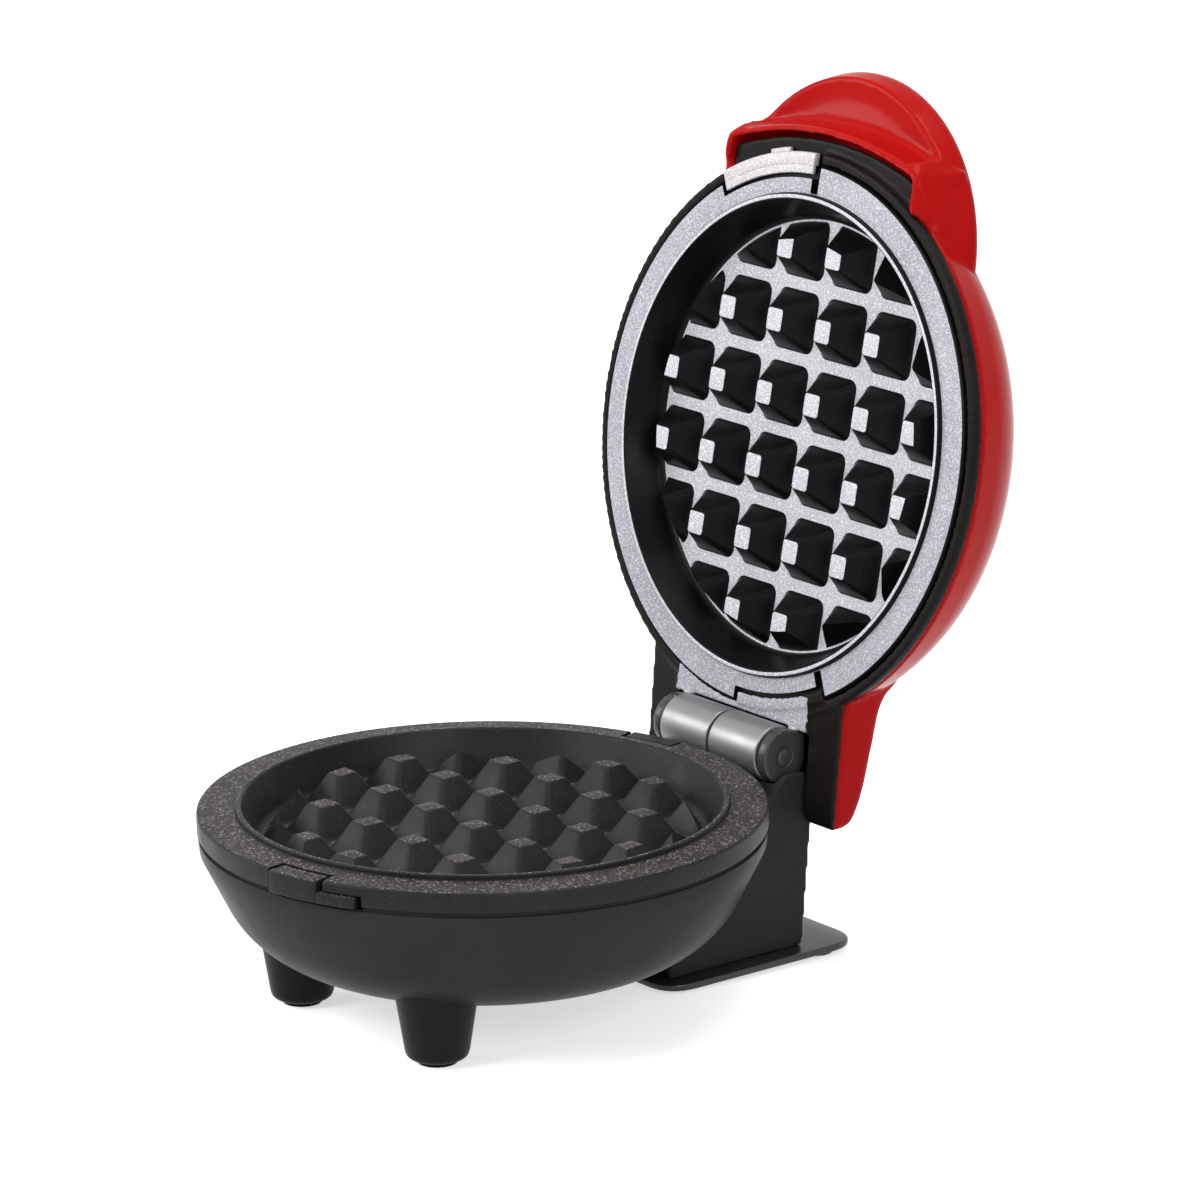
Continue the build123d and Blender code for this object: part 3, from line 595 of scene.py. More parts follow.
@dataclass(frozen=True)
class Finish:
    """One material and how its surface varies.

    Colours are linear. The rough pair is the gloss at both ends of the drift.
    """

    name: str
    colour: Colour
    tint: Colour
    rough: Flat
    metallic: float = 0.0
    drift: float = 45.0
    grain: float = 1600.0
    grain_depth: float = 0.03
    pits: float = 0.4
    fleck: Optional[Colour] = None
    fleck_scale: float = 1700.0
    fleck_share: float = 0.5
    specular: float = 0.5
    clear: float = 0.0

    def made(self, effects: Effects) -> bpy.types.Material:
        """Build the material.

        Args:
            effects: The shared shader groups.

        Returns:
            The new material.
        """
        material = bpy.data.materials.new(self.name)
        material.use_nodes = True
        tree = material.node_tree

        def placed(group: Tree, inputs: Dict[Union[str, int], object]) -> Socket:
            """Place a shared group and return what it puts out."""
            return wired(tree, "Group", inputs, node_tree=group).outputs[0]

        def mixed(mask: Socket, low: object, high: Colour) -> Socket:
            """Mix a second colour over the first by a mask."""
            return wired(tree, "Mix", {0: mask, 6: low, 7: (*high, 1.0)},
                         data_type="RGBA").outputs[2]

        colour = mixed(placed(effects.drift, {"Scale": self.drift, "Spread": 0.18}),
                       (*self.colour, 1.0), self.tint)
        if self.fleck is not None:
            colour = mixed(placed(effects.flecks, {"Scale": self.fleck_scale,
                                                   "Share": self.fleck_share}), colour, self.fleck)
        smudge = placed(effects.drift, {"Scale": self.drift * 3.1, "Spread": 0.25})
        gloss = wired(tree, "MapRange", {"Value": smudge, "To Min": self.rough[0],
                                         "To Max": self.rough[1]})
        grain = placed(effects.grain, {"Scale": self.grain, "Pits": self.pits})
        bump = wired(tree, "Bump", {"Strength": 1.0, "Distance": self.grain_depth * MM,
                                    "Height": grain})
        feed(tree, tree.nodes["Principled BSDF"], {
            "Base Color": colour, "Roughness": gloss.outputs["Result"],
            "Normal": bump.outputs["Normal"], "Metallic": self.metallic,
            "Specular IOR Level": self.specular, "Transmission Weight": self.clear})
        return material


FINISHES = (
    Finish("housing_grey", (0.027, 0.027, 0.028), (0.034, 0.033, 0.034), (0.30, 0.40),
           grain_depth=0.010, specular=0.03),
    Finish("foot_satin", (0.018, 0.018, 0.019), (0.024, 0.023, 0.024), (0.22, 0.30),
           grain_depth=0.006, specular=0.5),
    Finish("leg_black", (0.007, 0.007, 0.008), (0.011, 0.011, 0.012), (0.34, 0.46),
           grain_depth=0.010, specular=0.09),
    Finish("foot_pad", (0.012, 0.012, 0.012), (0.020, 0.019, 0.018), (0.75, 0.9),
           grain_depth=0.05, specular=0.1),
    Finish("shell_red", (0.42, 0.006, 0.005), (0.37, 0.004, 0.004), (0.16, 0.22),
           drift=14.0, grain=700.0, grain_depth=0.002, pits=0.1, specular=0.045),
    Finish("liner_black", (0.010, 0.008, 0.008), (0.014, 0.011, 0.011), (0.24, 0.36),
           grain_depth=0.008, specular=0.05),
    Finish("knuckle_grey", (0.042, 0.042, 0.042), (0.056, 0.056, 0.056), (0.26, 0.34),
           grain_depth=0.006, specular=0.3),
    # Painted light: the two plates share one coating. It is painted in shade on the lower plate and
    # lit on the upper one, and the side finishes paint the castings' steep sides in shade.
    Finish("plate_dark", (0.036, 0.033, 0.032), (0.050, 0.045, 0.043), (0.34, 0.46),
           grain_depth=0.05, fleck=(0.34, 0.32, 0.31), fleck_share=0.56, specular=0.03),
    Finish("plate_dark_side", (0.010, 0.009, 0.009), (0.017, 0.016, 0.015), (0.36, 0.5),
           grain_depth=0.03, fleck=(0.05, 0.046, 0.045), fleck_share=0.62, specular=0.14),
    Finish("plate_bright", (0.29, 0.28, 0.32), (0.37, 0.36, 0.40), (0.42, 0.55),
           grain_depth=0.05, fleck=(0.66, 0.64, 0.71), fleck_scale=2500.0, fleck_share=0.49,
           specular=0.3),
    Finish("plate_bright_side", (0.0032, 0.0032, 0.004), (0.006, 0.006, 0.007), (0.30, 0.42),
           grain_depth=0.02, fleck=(0.018, 0.018, 0.021), fleck_share=0.62, specular=0.08),
    # Painted light: the upper plate's floor and peg tops, painted lighter than its rim.
    Finish("plate_lit_floor", (0.46, 0.45, 0.49), (0.54, 0.53, 0.57), (0.40, 0.52),
           grain_depth=0.04, fleck=(0.86, 0.84, 0.90), fleck_scale=2500.0, fleck_share=0.50,
           specular=0.3),
    # Painted light: the upper catch's flats, painted lit.
    Finish("catch_lit_flats", (0.50, 0.47, 0.49), (0.58, 0.55, 0.56), (0.38, 0.5),
           grain_depth=0.04, fleck=(0.84, 0.79, 0.80), fleck_scale=2500.0, fleck_share=0.50,
           specular=0.3),
    Finish("barrel_grey", (0.25, 0.25, 0.255), (0.31, 0.31, 0.315), (0.34, 0.42),
           metallic=0.7, grain_depth=0.003),
    Finish("steel", (0.46, 0.46, 0.47), (0.55, 0.55, 0.56), (0.24, 0.36),
           metallic=1.0, grain_depth=0.006),
    Finish("heater_sheath", (0.10, 0.095, 0.09), (0.20, 0.18, 0.16), (0.4, 0.6), metallic=0.8),
    Finish("tray_sheet", (0.50, 0.50, 0.51), (0.62, 0.62, 0.62), (0.3, 0.45),
           metallic=1.0, grain_depth=0.01),
    Finish("switch_body", (0.06, 0.05, 0.045), (0.09, 0.08, 0.07), (0.5, 0.65)),
    Finish("fuse_sleeve", (0.62, 0.58, 0.50), (0.70, 0.66, 0.58), (0.7, 0.85),
           grain=900.0, grain_depth=0.06),
    Finish("terminal_white", (0.66, 0.65, 0.62), (0.74, 0.73, 0.70), (0.45, 0.6)),
    Finish("gland_rubber", (0.012, 0.012, 0.012), (0.022, 0.022, 0.022), (0.65, 0.8),
           grain_depth=0.04, specular=0.2),
    Finish("lens_clear", (0.80, 0.10, 0.06), (0.72, 0.08, 0.05), (0.10, 0.16),
           grain_depth=0.004, clear=0.6),
    Finish("lamp_glass", (0.80, 0.42, 0.16), (0.86, 0.50, 0.22), (0.1, 0.2), grain_depth=0.004),
)


class Wardrobe:
    """Every finish of the cooker, made once."""

    def __init__(self) -> None:
        """Build the shared effects and the materials."""
        effects = Effects()
        self.materials = {finish.name: finish.made(effects) for finish in FINISHES}

    def deliver(self, piece: Piece, node: str, body: str, slot: str, place: Matrix,
                angle: Optional[float] = 34.0, finishes: Sequence[str] = (),
                rule: Optional[Rule] = None, placed: bool = False) -> None:
        """Put a finished piece in its place, dress it and hand it over for its solid.

        Args:
            piece: The finished piece.
            node: Solid that it stands for.
            body: Body that it moves with.
            slot: The record's slot, and its finish unless others are given.
            place: Where the piece's own measure lies in the frame.
            angle: Shading stays sharp past this angle, or None for smooth all over.
            finishes: The finishes that the rule numbers.
            rule: Gives a face's number by its centre in millimetres and its normal.
            placed: Whether the piece lies in its place already.
        """
        Bench.settle(piece, None if placed else place, angle)
        piece.data.materials.clear()
        for finish in finishes or (slot,):
            piece.data.materials.append(self.materials[finish])
        own = place.inverted()
        turn = own.to_3x3()
        for face in piece.data.polygons:
            spot, normal = own @ face.center / MM, turn @ face.normal
            face.material_index = rule(spot, normal) if rule else 0
        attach(piece, body)
        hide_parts(node)
        log.info("%s: %d faces, rides on %s", piece.name, len(piece.data.polygons), body)

    def dress_node(self, node: str, finish: str) -> None:
        """Give a solid of the frame a finish in its own slots."""
        solid = frame["nodes"][node]
        if not solid.material_slots:
            solid.data.materials.append(self.materials[finish])
        for slot in solid.material_slots:
            slot.material = self.materials[finish]
        log.info("%s dressed in %s", node, finish)


def cast(spot: Vector, normal: Vector) -> int:
    """Paint the flats of a casting lit, 0, and its steep sides in shade, 1."""
    return 0 if abs(normal.z) > FLAT_FACING else 1


@dataclass
class PegField:
    """Tapered pegs of a cooking plate, cooking side up from z = 0."""

    pitch: float = 16.26
    base: float = 13.7
    top: float = 5.2
    height: float = 6.4
    rows: int = 6
    floor_z: float = -7.4
    floor_r: float = 48.5

    def made(self) -> Piece:
        """Model one peg, copy it over the grid and trim the field to the round floor.

        Returns:
            All the pegs as one piece.
        """
        peg = self._one_peg()
        rim = self.floor_r - (self.pitch - self.base) / 2
        lean = (self.base - self.top) / 2 / self.height
        half = self.pitch * (self.rows - 1) / 2
        whole: List[Piece] = []
        cut: List[Piece] = []
        for column in range(self.rows):
            for row in range(self.rows):
                x, y = column * self.pitch - half, row * self.pitch - half
                near = math.hypot(abs(x) - self.base / 2, abs(y) - self.base / 2)
                far = math.hypot(abs(x) + self.base / 2 - 1.2, abs(y) + self.base / 2 - 1.2)
                if near >= rim - (self.base - self.top) / 2:
                    continue
                copy = peg.copy()
                copy.data = peg.data.copy()
                copy.data.transform(Matrix.Translation(Vector((x, y, 0.0)) * MM))
                bpy.context.scene.collection.objects.link(copy)
                (cut if far > rim else whole).append(copy)
        bpy.data.objects.remove(peg)
        trimmed = Bench.merge(*cut)
        low, high = self.floor_z - 0.6, self.floor_z + self.height + 0.4
        foot_r, top_r = rim + 0.6 * lean, rim - (self.height + 0.4) * lean
        profile = ((0.0, low), (foot_r, low), (top_r, high), (0.0, high))
        cone = Bench.turned("peg_trim", profile, 128)
        Bench.in_order(Bench.meet(trimmed, cone, Join.KEEP_INSIDE))
        with Bench.editing(trimmed):
            Bench.close_up(SLIVER_WELD, False)
        return Bench.merge(trimmed, *whole)

    def _one_peg(self) -> Piece:
        """Shape the first peg: rounded corners, a small flare at its foot and an eased top."""
        def at(z: float) -> Vector:
            """Return a place on the peg's own centre line."""
            return Vector((0, 0, z)) * MM

        bpy.ops.object.select_all(action="DESELECT")
        body = self.base - 0.5
        bpy.ops.mesh.primitive_cube_add(size=1.0, location=at(self.floor_z + self.height / 2))
        peg = bpy.context.active_object
        peg.name = "peg"
        peg.scale = Vector((body, body, self.height)) * MM
        bpy.ops.object.transform_apply(location=True, rotation=True, scale=True)
        Bench.round_edges(peg, 2.1, 4, lambda spot, way: abs(way.z) > 0.9)
        top_z = self.floor_z + self.height
        shrink, flare = self.top / body, (self.base + 0.5) / body
        resize = bpy.ops.transform.resize
        with Bench.editing(peg):
            Bench.choose(Pick.FACES, lambda spot, normal: normal.z > 0.9)
            resize(value=(shrink, shrink, 1.0), center_override=at(top_z))
            bpy.ops.mesh.bevel(offset=0.35 * MM, segments=3, affect="EDGES")
            for rise in (0.35, 0.9):
                bpy.ops.mesh.select_all(action="SELECT")
                bpy.ops.mesh.bisect(plane_co=at(self.floor_z + rise), plane_no=(0, 0, 1))
            Bench.choose(Pick.FACES, lambda spot, normal: normal.z < -0.9)
            resize(value=(flare, flare, 1.0), center_override=at(self.floor_z))
            bpy.ops.transform.translate(value=at(-0.3))
            Bench.close_up()
        return peg


@dataclass
class CookingPlate:
    """Cast plate with its rim, lip, recess, pegs and notches."""

    name: str
    outer: float
    skirt: float
    notches: Tuple[Flat, ...]
    steps: Tuple[Flat, ...] = ()
    lip_r: float = 51.7
    lip_t: float = 1.3
    lip_h: float = 1.2
    rim_t: float = 2.0
    skirt_t: float = 1.8
    floor_t: float = 2.4
    notch_r: float = NOTCH_R
    step_low: float = -2.1
    lit_floor_finish: str = ""
    slots: Tuple[Flat, ...] = ()
    pegs: PegField = field(default_factory=PegField)

    def build(self, wardrobe: Wardrobe, place: Matrix, body: str, finish: str) -> None:
        """Model the plate and put it in its place.

        Args:
            wardrobe: The finishes.
            place: Where the plate goes.
            body: Body that it rides on.
            finish: Finish of its flat faces, painted lit or in shade as the plate's coating is, and
                its slot.
        """
        plate = self._casting()
        inside, past, under = self.lip_r + self.lip_t, self.outer + 3, -self.skirt - 3
        for near, top, places in ((self.notch_r, 4, self.notches),
                                  (self.outer - 4, self.step_low, self.steps),
                                  (inside + 0.3, 4, self.slots)):
            for angles in places:
                Bench.meet(plate, Bench.sector("cut", (near, past), angles, (under, top)))
        shelf = (self.notch_r - 1.8, self.notch_r + 2.1)
        shelves = [Bench.sector("shelf", shelf, angles, (-2.3, -1.3)) for angles in self.notches]
        Bench.merge(plate, self.pegs.made(), *shelves)
        plate.name = self.name

        def rule(spot: Vector, normal: Vector) -> int:
            """Paint the flats lit, 0, the sides and the shelf under the rim in shade, 1, and the
            floor inside the lip lighter still, 2, as painted light.
            """
            within = math.hypot(spot.x, spot.y) < inside
            if cast(spot, normal) or (not within and spot.z < -1.0):
                return 1
            return 2 if within and self.lit_floor_finish else 0

        # Painted light: flats lit, sides and the shelf under the rim in shade, and the upper floor
        # painted lighter than the rim.
        finishes = [finish, finish + "_side"] + ([self.lit_floor_finish] if self.lit_floor_finish else [])
        node = self.name.replace("_casting", "")
        wardrobe.deliver(plate, node, body, finish, place, 24.0, finishes, rule)

    def _casting(self) -> Piece:
        """Spin the plate's profile with eased corners."""
        floor_z, floor_r = self.pegs.floor_z, self.pegs.floor_r
        lip_out, skirt_in = self.lip_r + self.lip_t, self.outer - self.skirt_t
        under = floor_z - self.floor_t
        corners = ((0.0, floor_z), (floor_r, floor_z), (self.lip_r, self.lip_h),
                   (lip_out, self.lip_h), (lip_out, 0.0), (self.outer, 0.0),
                   (self.outer, -self.skirt), (skirt_in, -self.skirt), (skirt_in, -self.rim_t),
                   (lip_out + self.lip_t, -self.rim_t), (floor_r + self.floor_t, under),
                   (0.0, under))
        eased = {1: 1.6, 2: 0.5, 3: 0.5, 4: 0.35, 5: 0.7, 6: 0.4, 7: 0.3, 8: 0.3, 9: 1.0, 10: 1.5}
        return Bench.turned(self.name, softened(corners, eased, 4), 160)


@dataclass
class BaseHousing:
    """Bowl, legs, tower and rear foot."""

    bowl_r: float = 61.0
    bowl_rim_drop: float = 5.4
    bowl_bottom_z: float = 12.0
    flat_r: float = 34.0
    turn_r: float = 24.0
    turn_deg: float = 61.0
    wall: float = 2.2
    ledge_r: float = 60.2
    skirt_h: float = 4.4
    pocket_deg: Flat = (6.5, 29.0)
    rear_deg: Flat = (187.5, 199.5)
    leg_x: float = 24.5
    leg_y: float = -31.0
    leg_foot_r: float = 6.6
    leg_top_r: float = 9.6
    leg_top_z: float = 20.0
    pad_lift: float = 1.0
    foot_half: float = 26.0
    foot_ends: Flat = (30.0, 84.0)
    foot_corner: float = 8.0
    foot_t: float = 1.6

    def build(self, wardrobe: Wardrobe) -> None:
        """Model and dress the housing."""
        self._bowl(wardrobe)
        self._legs(wardrobe)
        self._tower(wardrobe)
        self._foot(wardrobe)

    def _arc(self, inset: float) -> List[Flat]:
        """Outline of the bowl from its flat to the top of its turn."""
        inner = self.turn_r - inset
        centre = (self.flat_r, self.bowl_bottom_z + self.turn_r)
        return swept(centre, inner, -inner, self.turn_deg, 14)

    def _bowl(self, wardrobe: Wardrobe) -> None:
        """Spin the bowl with its rolled rim and ledge, and open the catch's pocket."""
        rim_z, ledge_z = level(-self.bowl_rim_drop), level(-self.skirt_h)
        inner = self.bowl_r - self.wall
        outside = [(0.0, self.bowl_bottom_z)] + self._arc(0.0)
        inside = [(0.0, self.bowl_bottom_z + self.wall)] + self._arc(self.wall)
        rim = softened(((self.bowl_r - 0.3, rim_z - 3.0), (self.bowl_r, rim_z),
                        (self.ledge_r, rim_z), (self.ledge_r, ledge_z), (inner, ledge_z),
                        (inner, rim_z - 3.0)), {1: 0.6, 2: 0.2, 3: 0.2, 4: 0.2}, 3)
        bowl = Bench.turned("bowl_moulding", outside + rim + list(reversed(inside)), 160)
        low, high = self.pocket_deg
        pocket, *added = (
            Bench.sector(name, radii, angles, (level(under), level(top)))
            for name, radii, angles, under, top in (
                ("pocket", (NOTCH_R, 65.0), self.pocket_deg, -5.2, 1.0),
                ("pocket_floor", (NOTCH_R, 60.0), (low - 1, high + 1), -7.4, -5.2),
                ("rear_tab", (59.3, 61.0), self.rear_deg, -5.4, -0.05),
                ("rear_nose", (57.5, 59.4), self.rear_deg, -0.85, -0.05)))
        Bench.merge(Bench.meet(bowl, pocket), *added)
        wardrobe.deliver(bowl, "base_bowl", "base", "housing_grey", STANCE.standing(), 32.0)

    def _legs(self, wardrobe: Wardrobe) -> None:
        """Turn one tapered leg with a rounded foot, and stand one on each side."""
        shape = softened(((0.0, self.pad_lift), (self.leg_foot_r, self.pad_lift),
                          (self.leg_top_r, self.leg_top_z), (0.0, self.leg_top_z)), {1: 1.8}, 5)
        under = Bench.turned("bowl_form", [(0.0, self.bowl_bottom_z)] + self._arc(0.0)
                             + [(self.bowl_r, 39.0), (0.0, 39.0)])
        for side, name in ((-1, "left"), (1, "right")):
            leg = Bench.turned(f"leg_turned_{name}", shape, 64, (side * self.leg_x, self.leg_y))
            Bench.meet(leg, under, keep=True)
            wardrobe.deliver(leg, f"front_leg_{name}", "base", "leg_black", STANCE.standing())
        bpy.data.objects.remove(under)

    def _tower(self, wardrobe: Wardrobe) -> None:
        """Soften the tower's corners."""
        tower = Bench.moulded(Bench.copy_of("hinge_tower", "tower_moulding"), 0.5, 5)
        wardrobe.deliver(tower, "hinge_tower", "base", "housing_grey", STANCE.standing(), None,
                         placed=True)

    def _foot(self, wardrobe: Wardrobe) -> None:
        """Draw the rear foot plate and ease its edges."""
        half, (near, far) = self.foot_half, self.foot_ends
        corners = softened(((-half, near), (half, near), (half, far), (-half, far)),
                           dict.fromkeys(range(4), self.foot_corner), 8)
        foot = Bench.raised_face("foot_plate", [(x, y, self.pad_lift) for x, y in corners],
                                 (0.0, 0.0, self.foot_t))
        Bench.soft_corners(foot, 0.45, 3, 50.0)
        wardrobe.deliver(foot, "rear_foot", "base", "housing_grey", STANCE.standing(),
                         finishes=("foot_satin",))


@dataclass
class Catches:
    """The two catches that hold the plates."""

    inner: float = 57.5
    nose_len: float = 1.8
    nose_t: float = 0.8
    out: float = 62.2
    lower_deg: Flat = (7.5, 19.5)
    lower_drop: float = 4.8
    step_deg: Flat = (19.4, 28.0)
    step_drop: float = 2.5
    upper_deg: Flat = (-30.6, -1.5)
    upper_drop: float = 1.7
    finger_deg: Flat = (-16.0, -10.0)

    def build(self, wardrobe: Wardrobe) -> None:
        """Model both catches."""
        lower = self._tab(self.lower_deg, self.lower_drop)
        step = Bench.sector("lower_step", (self.inner + self.nose_len, self.out), self.step_deg,
                            (-self.lower_drop, -self.step_drop))
        Bench.merge(lower, Bench.soft_corners(step, 0.3, 2))
        lower.name = "lower_catch_block"
        # The catches' flats are painted lit and their sides in shade, as on the plates.
        wardrobe.deliver(lower, "lower_catch", "lower_catch", "plate_dark", STANCE.on_lower(),
                         32.0, ("plate_dark", "plate_dark_side"), cast)

        upper = self._tab(self.upper_deg, self.upper_drop)
        finger = Bench.sector("finger", (self.out - 1.0, self.out + 1.0), self.finger_deg,
                              (-self.upper_drop, -self.nose_t))
        Bench.merge(upper, Bench.soft_corners(finger, 0.25, 2))
        upper.name = "upper_catch_tab"
        wardrobe.deliver(upper, "upper_catch", "upper_catch", "plate_bright", STANCE.on_upper(),
                         32.0, ("catch_lit_flats", "plate_bright"), cast)

    def _tab(self, angles: Flat, drop: float) -> Piece:
        """Shape a tab with its thin nose."""
        root = self.inner + self.nose_len
        tab = Bench.sector("tab", (root, self.out), angles, (-drop, -0.05))
        nose = Bench.sector("nose", (self.inner, root + 0.2), angles, (-self.nose_t - 0.05, -0.05))
        return Bench.merge(Bench.soft_corners(tab, 0.35, 3), Bench.soft_corners(nose, 0.2, 2))


@dataclass
class Barrels:
    """The two halves of the hinge barrel, bored for the pins."""

    radius: float = 6.4
    half: float = 16.4
    seam: float = 0.8
    bore_r: float = 2.05
    bore_from: float = 7.4

    def build(self, wardrobe: Wardrobe) -> None:
        """Turn both halves."""
        line = (STANCE.hinge_y, level(STANCE.hinge_rise))
        for side, name in ((-1, "left"), (1, "right")):
            near, far, bore = side * self.seam / 2, side * self.half, side * self.bore_from
            ends = ((near, 0.0), (near, self.radius), (far, self.radius), (far, self.bore_r),
                    (bore, self.bore_r), (bore, 0.0))
            profile = softened(ends, {1: 0.5, 2: 0.5}, 4)
            barrel = Bench.drum(f"barrel_half_{name}", profile, line)
            wardrobe.deliver(barrel, f"hinge_barrel_{name}", "base", "barrel_grey",
                             STANCE.standing(), 30.0)


@dataclass
class LidShell:
    """Red moulding: dome, handle nose, skirt and hood in one skin."""

    rim_r: float = 62.0
    rim_rise: float = 6.0
    top_rise: float = LID_TOP
    wall: float = 2.0
    flat_r: float = 34.5
    turn_r: float = 27.2
    turn_deg: float = 70.0
    lens_hole_r: float = 3.55
    nose_y: float = -41.3
    nose_side: Tuple[Flat, ...] = ((0.0, 20.5), (34.5, 20.5), (40.0, 17.3), (38.0, 11.0))
    scoop_from: Flat = (22.0, 8.0)
    scoop_to: Flat = (37.4, 10.9)
    scoop_depth: float = 1.4
    scoop_deg: float = 50.0
    scoop_past: float = 9.0
    brim_y: float = -67.6
    brim_half: float = 31.8
    brim_sweep: float = 5.6
    brim_low: float = 2.7
    brim_lean: float = 0.16
    brim_back: float = -50.0
    hood_half: float = 32.0
    hood_side: Tuple[Flat, ...] = ((53.4, 5.1), (82.2, 7.2), (80.6, 13.0), (74.0, 15.0),
                                   (62.0, 15.9), (53.0, 16.2), (46.0, 21.5), (46.0, 5.1))
    hood_under: Tuple[Flat, ...] = ((78.4, 11.2), (73.4, 13.2), (61.8, 14.1), (52.2, 14.4),
                                    (46.0, 19.0), (46.0, -1.0))
    arm_in: float = 22.6
    arm_hollow: Flat = (24.4, 30.2)
    # Bounds of the painted shade between the arms.
    shade_half: float = 24.5
    shade_y: Flat = (50.0, 79.0)
    shade_rise: float = 14.8
    grid: float = 0.77
    passes: int = 7

    def build(self, wardrobe: Wardrobe) -> None:
        """Model the forms, melt them together and dress the skin."""
        core_r = self.rim_r + 0.35
        core = Bench.turned("core", lifted(((0.0, -2), (core_r, -2), (core_r, self.rim_rise),
                                            (60.0, self.rim_rise))) + self._inside())
        forms = [self._nose(), self._hood()]
        for form in forms:
            Bench.meet(form, core, keep=True)
        bpy.data.objects.remove(core)
        shell = Bench.merge(self._dome(), *forms)
        Bench.moulded(shell, self.grid, self.passes)
        for inset in (0.0, self.wall):
            Bench.true_up(shell, [(0.0, level(self.top_rise - inset))] + self._arc(inset, 60)
                          + [(self.rim_r - inset, level(self.rim_rise + 0.6))])
        Bench.true_up(shell, self._nose_line(14)[::-1], (0.0, self.nose_y))
        # Faces in the gaps between the arms are dressed black as painted shade.
        wardrobe.deliver(shell, "lid_shell", "lid", "shell_red", STANCE.raised(), None,
                         ("shell_red", "liner_black"), self._shade_between_arms)

    def _shade_between_arms(self, spot: Vector, normal: Vector) -> int:
        """Paint the red faces in the gaps between the arms and over the barrels black, as painted
        shade.
        """
        (near, far), top = self.shade_y, level(self.shade_rise)
        return int(abs(spot.x) < self.shade_half and near < spot.y < far and spot.z < top
                   and normal.z < 0.3)

    def _arc(self, inset: float, steps: int = 20) -> List[Flat]:
        """Outline of the dome from its flat top to the foot of its turn."""
        inner = self.turn_r - inset
        centre = (self.flat_r, level(self.top_rise) - self.turn_r)
        return swept(centre, inner, inner, self.turn_deg, steps)

    def _inside(self) -> List[Flat]:
        """Inner outline of the dome from its foot up to its middle."""
        return self._arc(self.wall)[::-1] + [(0.0, level(self.top_rise - self.wall))]

    def _dome(self) -> Piece:
        """Spin the dome and open the lens hole in its top."""
        rim = lifted(((self.rim_r, self.rim_rise), (self.rim_r - self.wall, self.rim_rise)))
        profile = [(0.0, level(self.top_rise))] + self._arc(0.0) + rim + self._inside()
        dome = Bench.turned("shell_moulding", profile, 160)
        hole_r, low, high = self.lens_hole_r, 20.0, 34.0
        hole = Bench.turned("lens_hole", lifted(((0.0, low), (hole_r, low), (hole_r, high),
                                                 (0.0, high))), 48, (0.0, LENS_Y))
        return Bench.meet(dome, hole)

    def _nose_line(self, steps: int) -> List[Flat]:
        """Side of the round nose from its top to its lower edge."""
        return softened(lifted(self.nose_side), {1: 4.0, 2: 2.6}, steps)

    def _nose(self) -> Piece:
        """Stretch a skin from the skirt's edge to the round nose and open its underside."""
        foot = (0.0, level(self.nose_side[-1][1]))
        nose = Bench.turned("nose", self._nose_line(6) + [foot], 144, (0.0, self.nose_y))
        Bench.merge(nose, self._skirt_form("skirt_edge", 0.0, self.brim_low, self.brim_low + 0.4))
        with Bench.editing(nose):
            bpy.ops.mesh.select_mode(type="VERT")
            bpy.ops.mesh.select_all(action="SELECT")
            bpy.ops.mesh.delete(type="EDGE_FACE")
            Bench.close_up(WELD, False)
            bpy.ops.mesh.convex_hull(use_existing_faces=False)
            Bench.close_up()
        Bench.meet(nose, self._scoop())
        Bench.meet(nose, self._skirt_form("skirt", 0.0, self.brim_low, 16.0), Join.ADD)
        Bench.meet(nose, self._skirt_form("skirt_hollow", 1.6, 1.0, 9.0))
        heights = (level(-1.0), level(5.0))
        return Bench.meet(nose, Bench.sector("catch_room", (59.0, 64.8), (-32.6, 2.1), heights))

    def _scoop(self) -> Piece:
        """Form that opens the nose's underside: a shallow ring, kept to the front."""
        (r0, z0), (r1, z1) = self.scoop_from, self.scoop_to
        hollow = [(r0 + (r1 - r0) * t / 16,
                   z0 + (z1 - z0) * t / 16 + self.scoop_depth * t / 4 * (1 - t / 16))
                  for t in range(17)]
        far = r1 + self.scoop_past
        scoop = Bench.turned("scoop", lifted(hollow + [(far, z1), (far, -1.0), (r0, -1.0)]), 144,
                             (0.0, self.nose_y), True)
        swing = [math.radians(self.scoop_deg) * (n / 8 - 1) for n in range(17)]
        wedge = [(0.0, self.nose_y, level(-2.0))] + [
            (60 * math.sin(a), self.nose_y - 60 * math.cos(a), level(-2.0)) for a in swing]
        reach = Bench.raised_face("scoop_reach", wedge, (0.0, 0.0, 24.0))
        return Bench.meet(scoop, reach, Join.KEEP_INSIDE)

    def _skirt_form(self, name: str, inset: float, low: float, high: float) -> Piece:
        """Solid form of the skirt, moved in by the inset and leaning out towards its top."""
        radius = (self.brim_half ** 2 + self.brim_sweep ** 2) / (2 * self.brim_sweep)
        reach = self.brim_half - inset
        swing = math.asin(reach / radius)
        front = [(radius * math.sin(a), self.brim_y + inset + radius * (1 - math.cos(a)))
                 for a in (swing * (n / 12 - 1) for n in range(25))]
        back = self.brim_back + 4 * inset
        outline = [(x, y, level(low)) for x, y in front + [(reach, back), (-reach, back)]]
        form = Bench.raised_face(name, outline, (0.0, 0.0, high - low))
        top = level(high)
        lean = self.brim_lean * (high - self.brim_low)
        with Bench.editing(form):
            Bench.choose(Pick.FACES, lambda spot, normal: normal.z > 0.9 and spot.z > top - 0.1)
            bpy.ops.transform.translate(value=(0.0, -lean * MM, 0.0))
            bpy.ops.transform.resize(value=((reach + lean) / reach, 1.0, 1.0),
                                     center_override=(0.0, 0.0, top * MM))
        return form

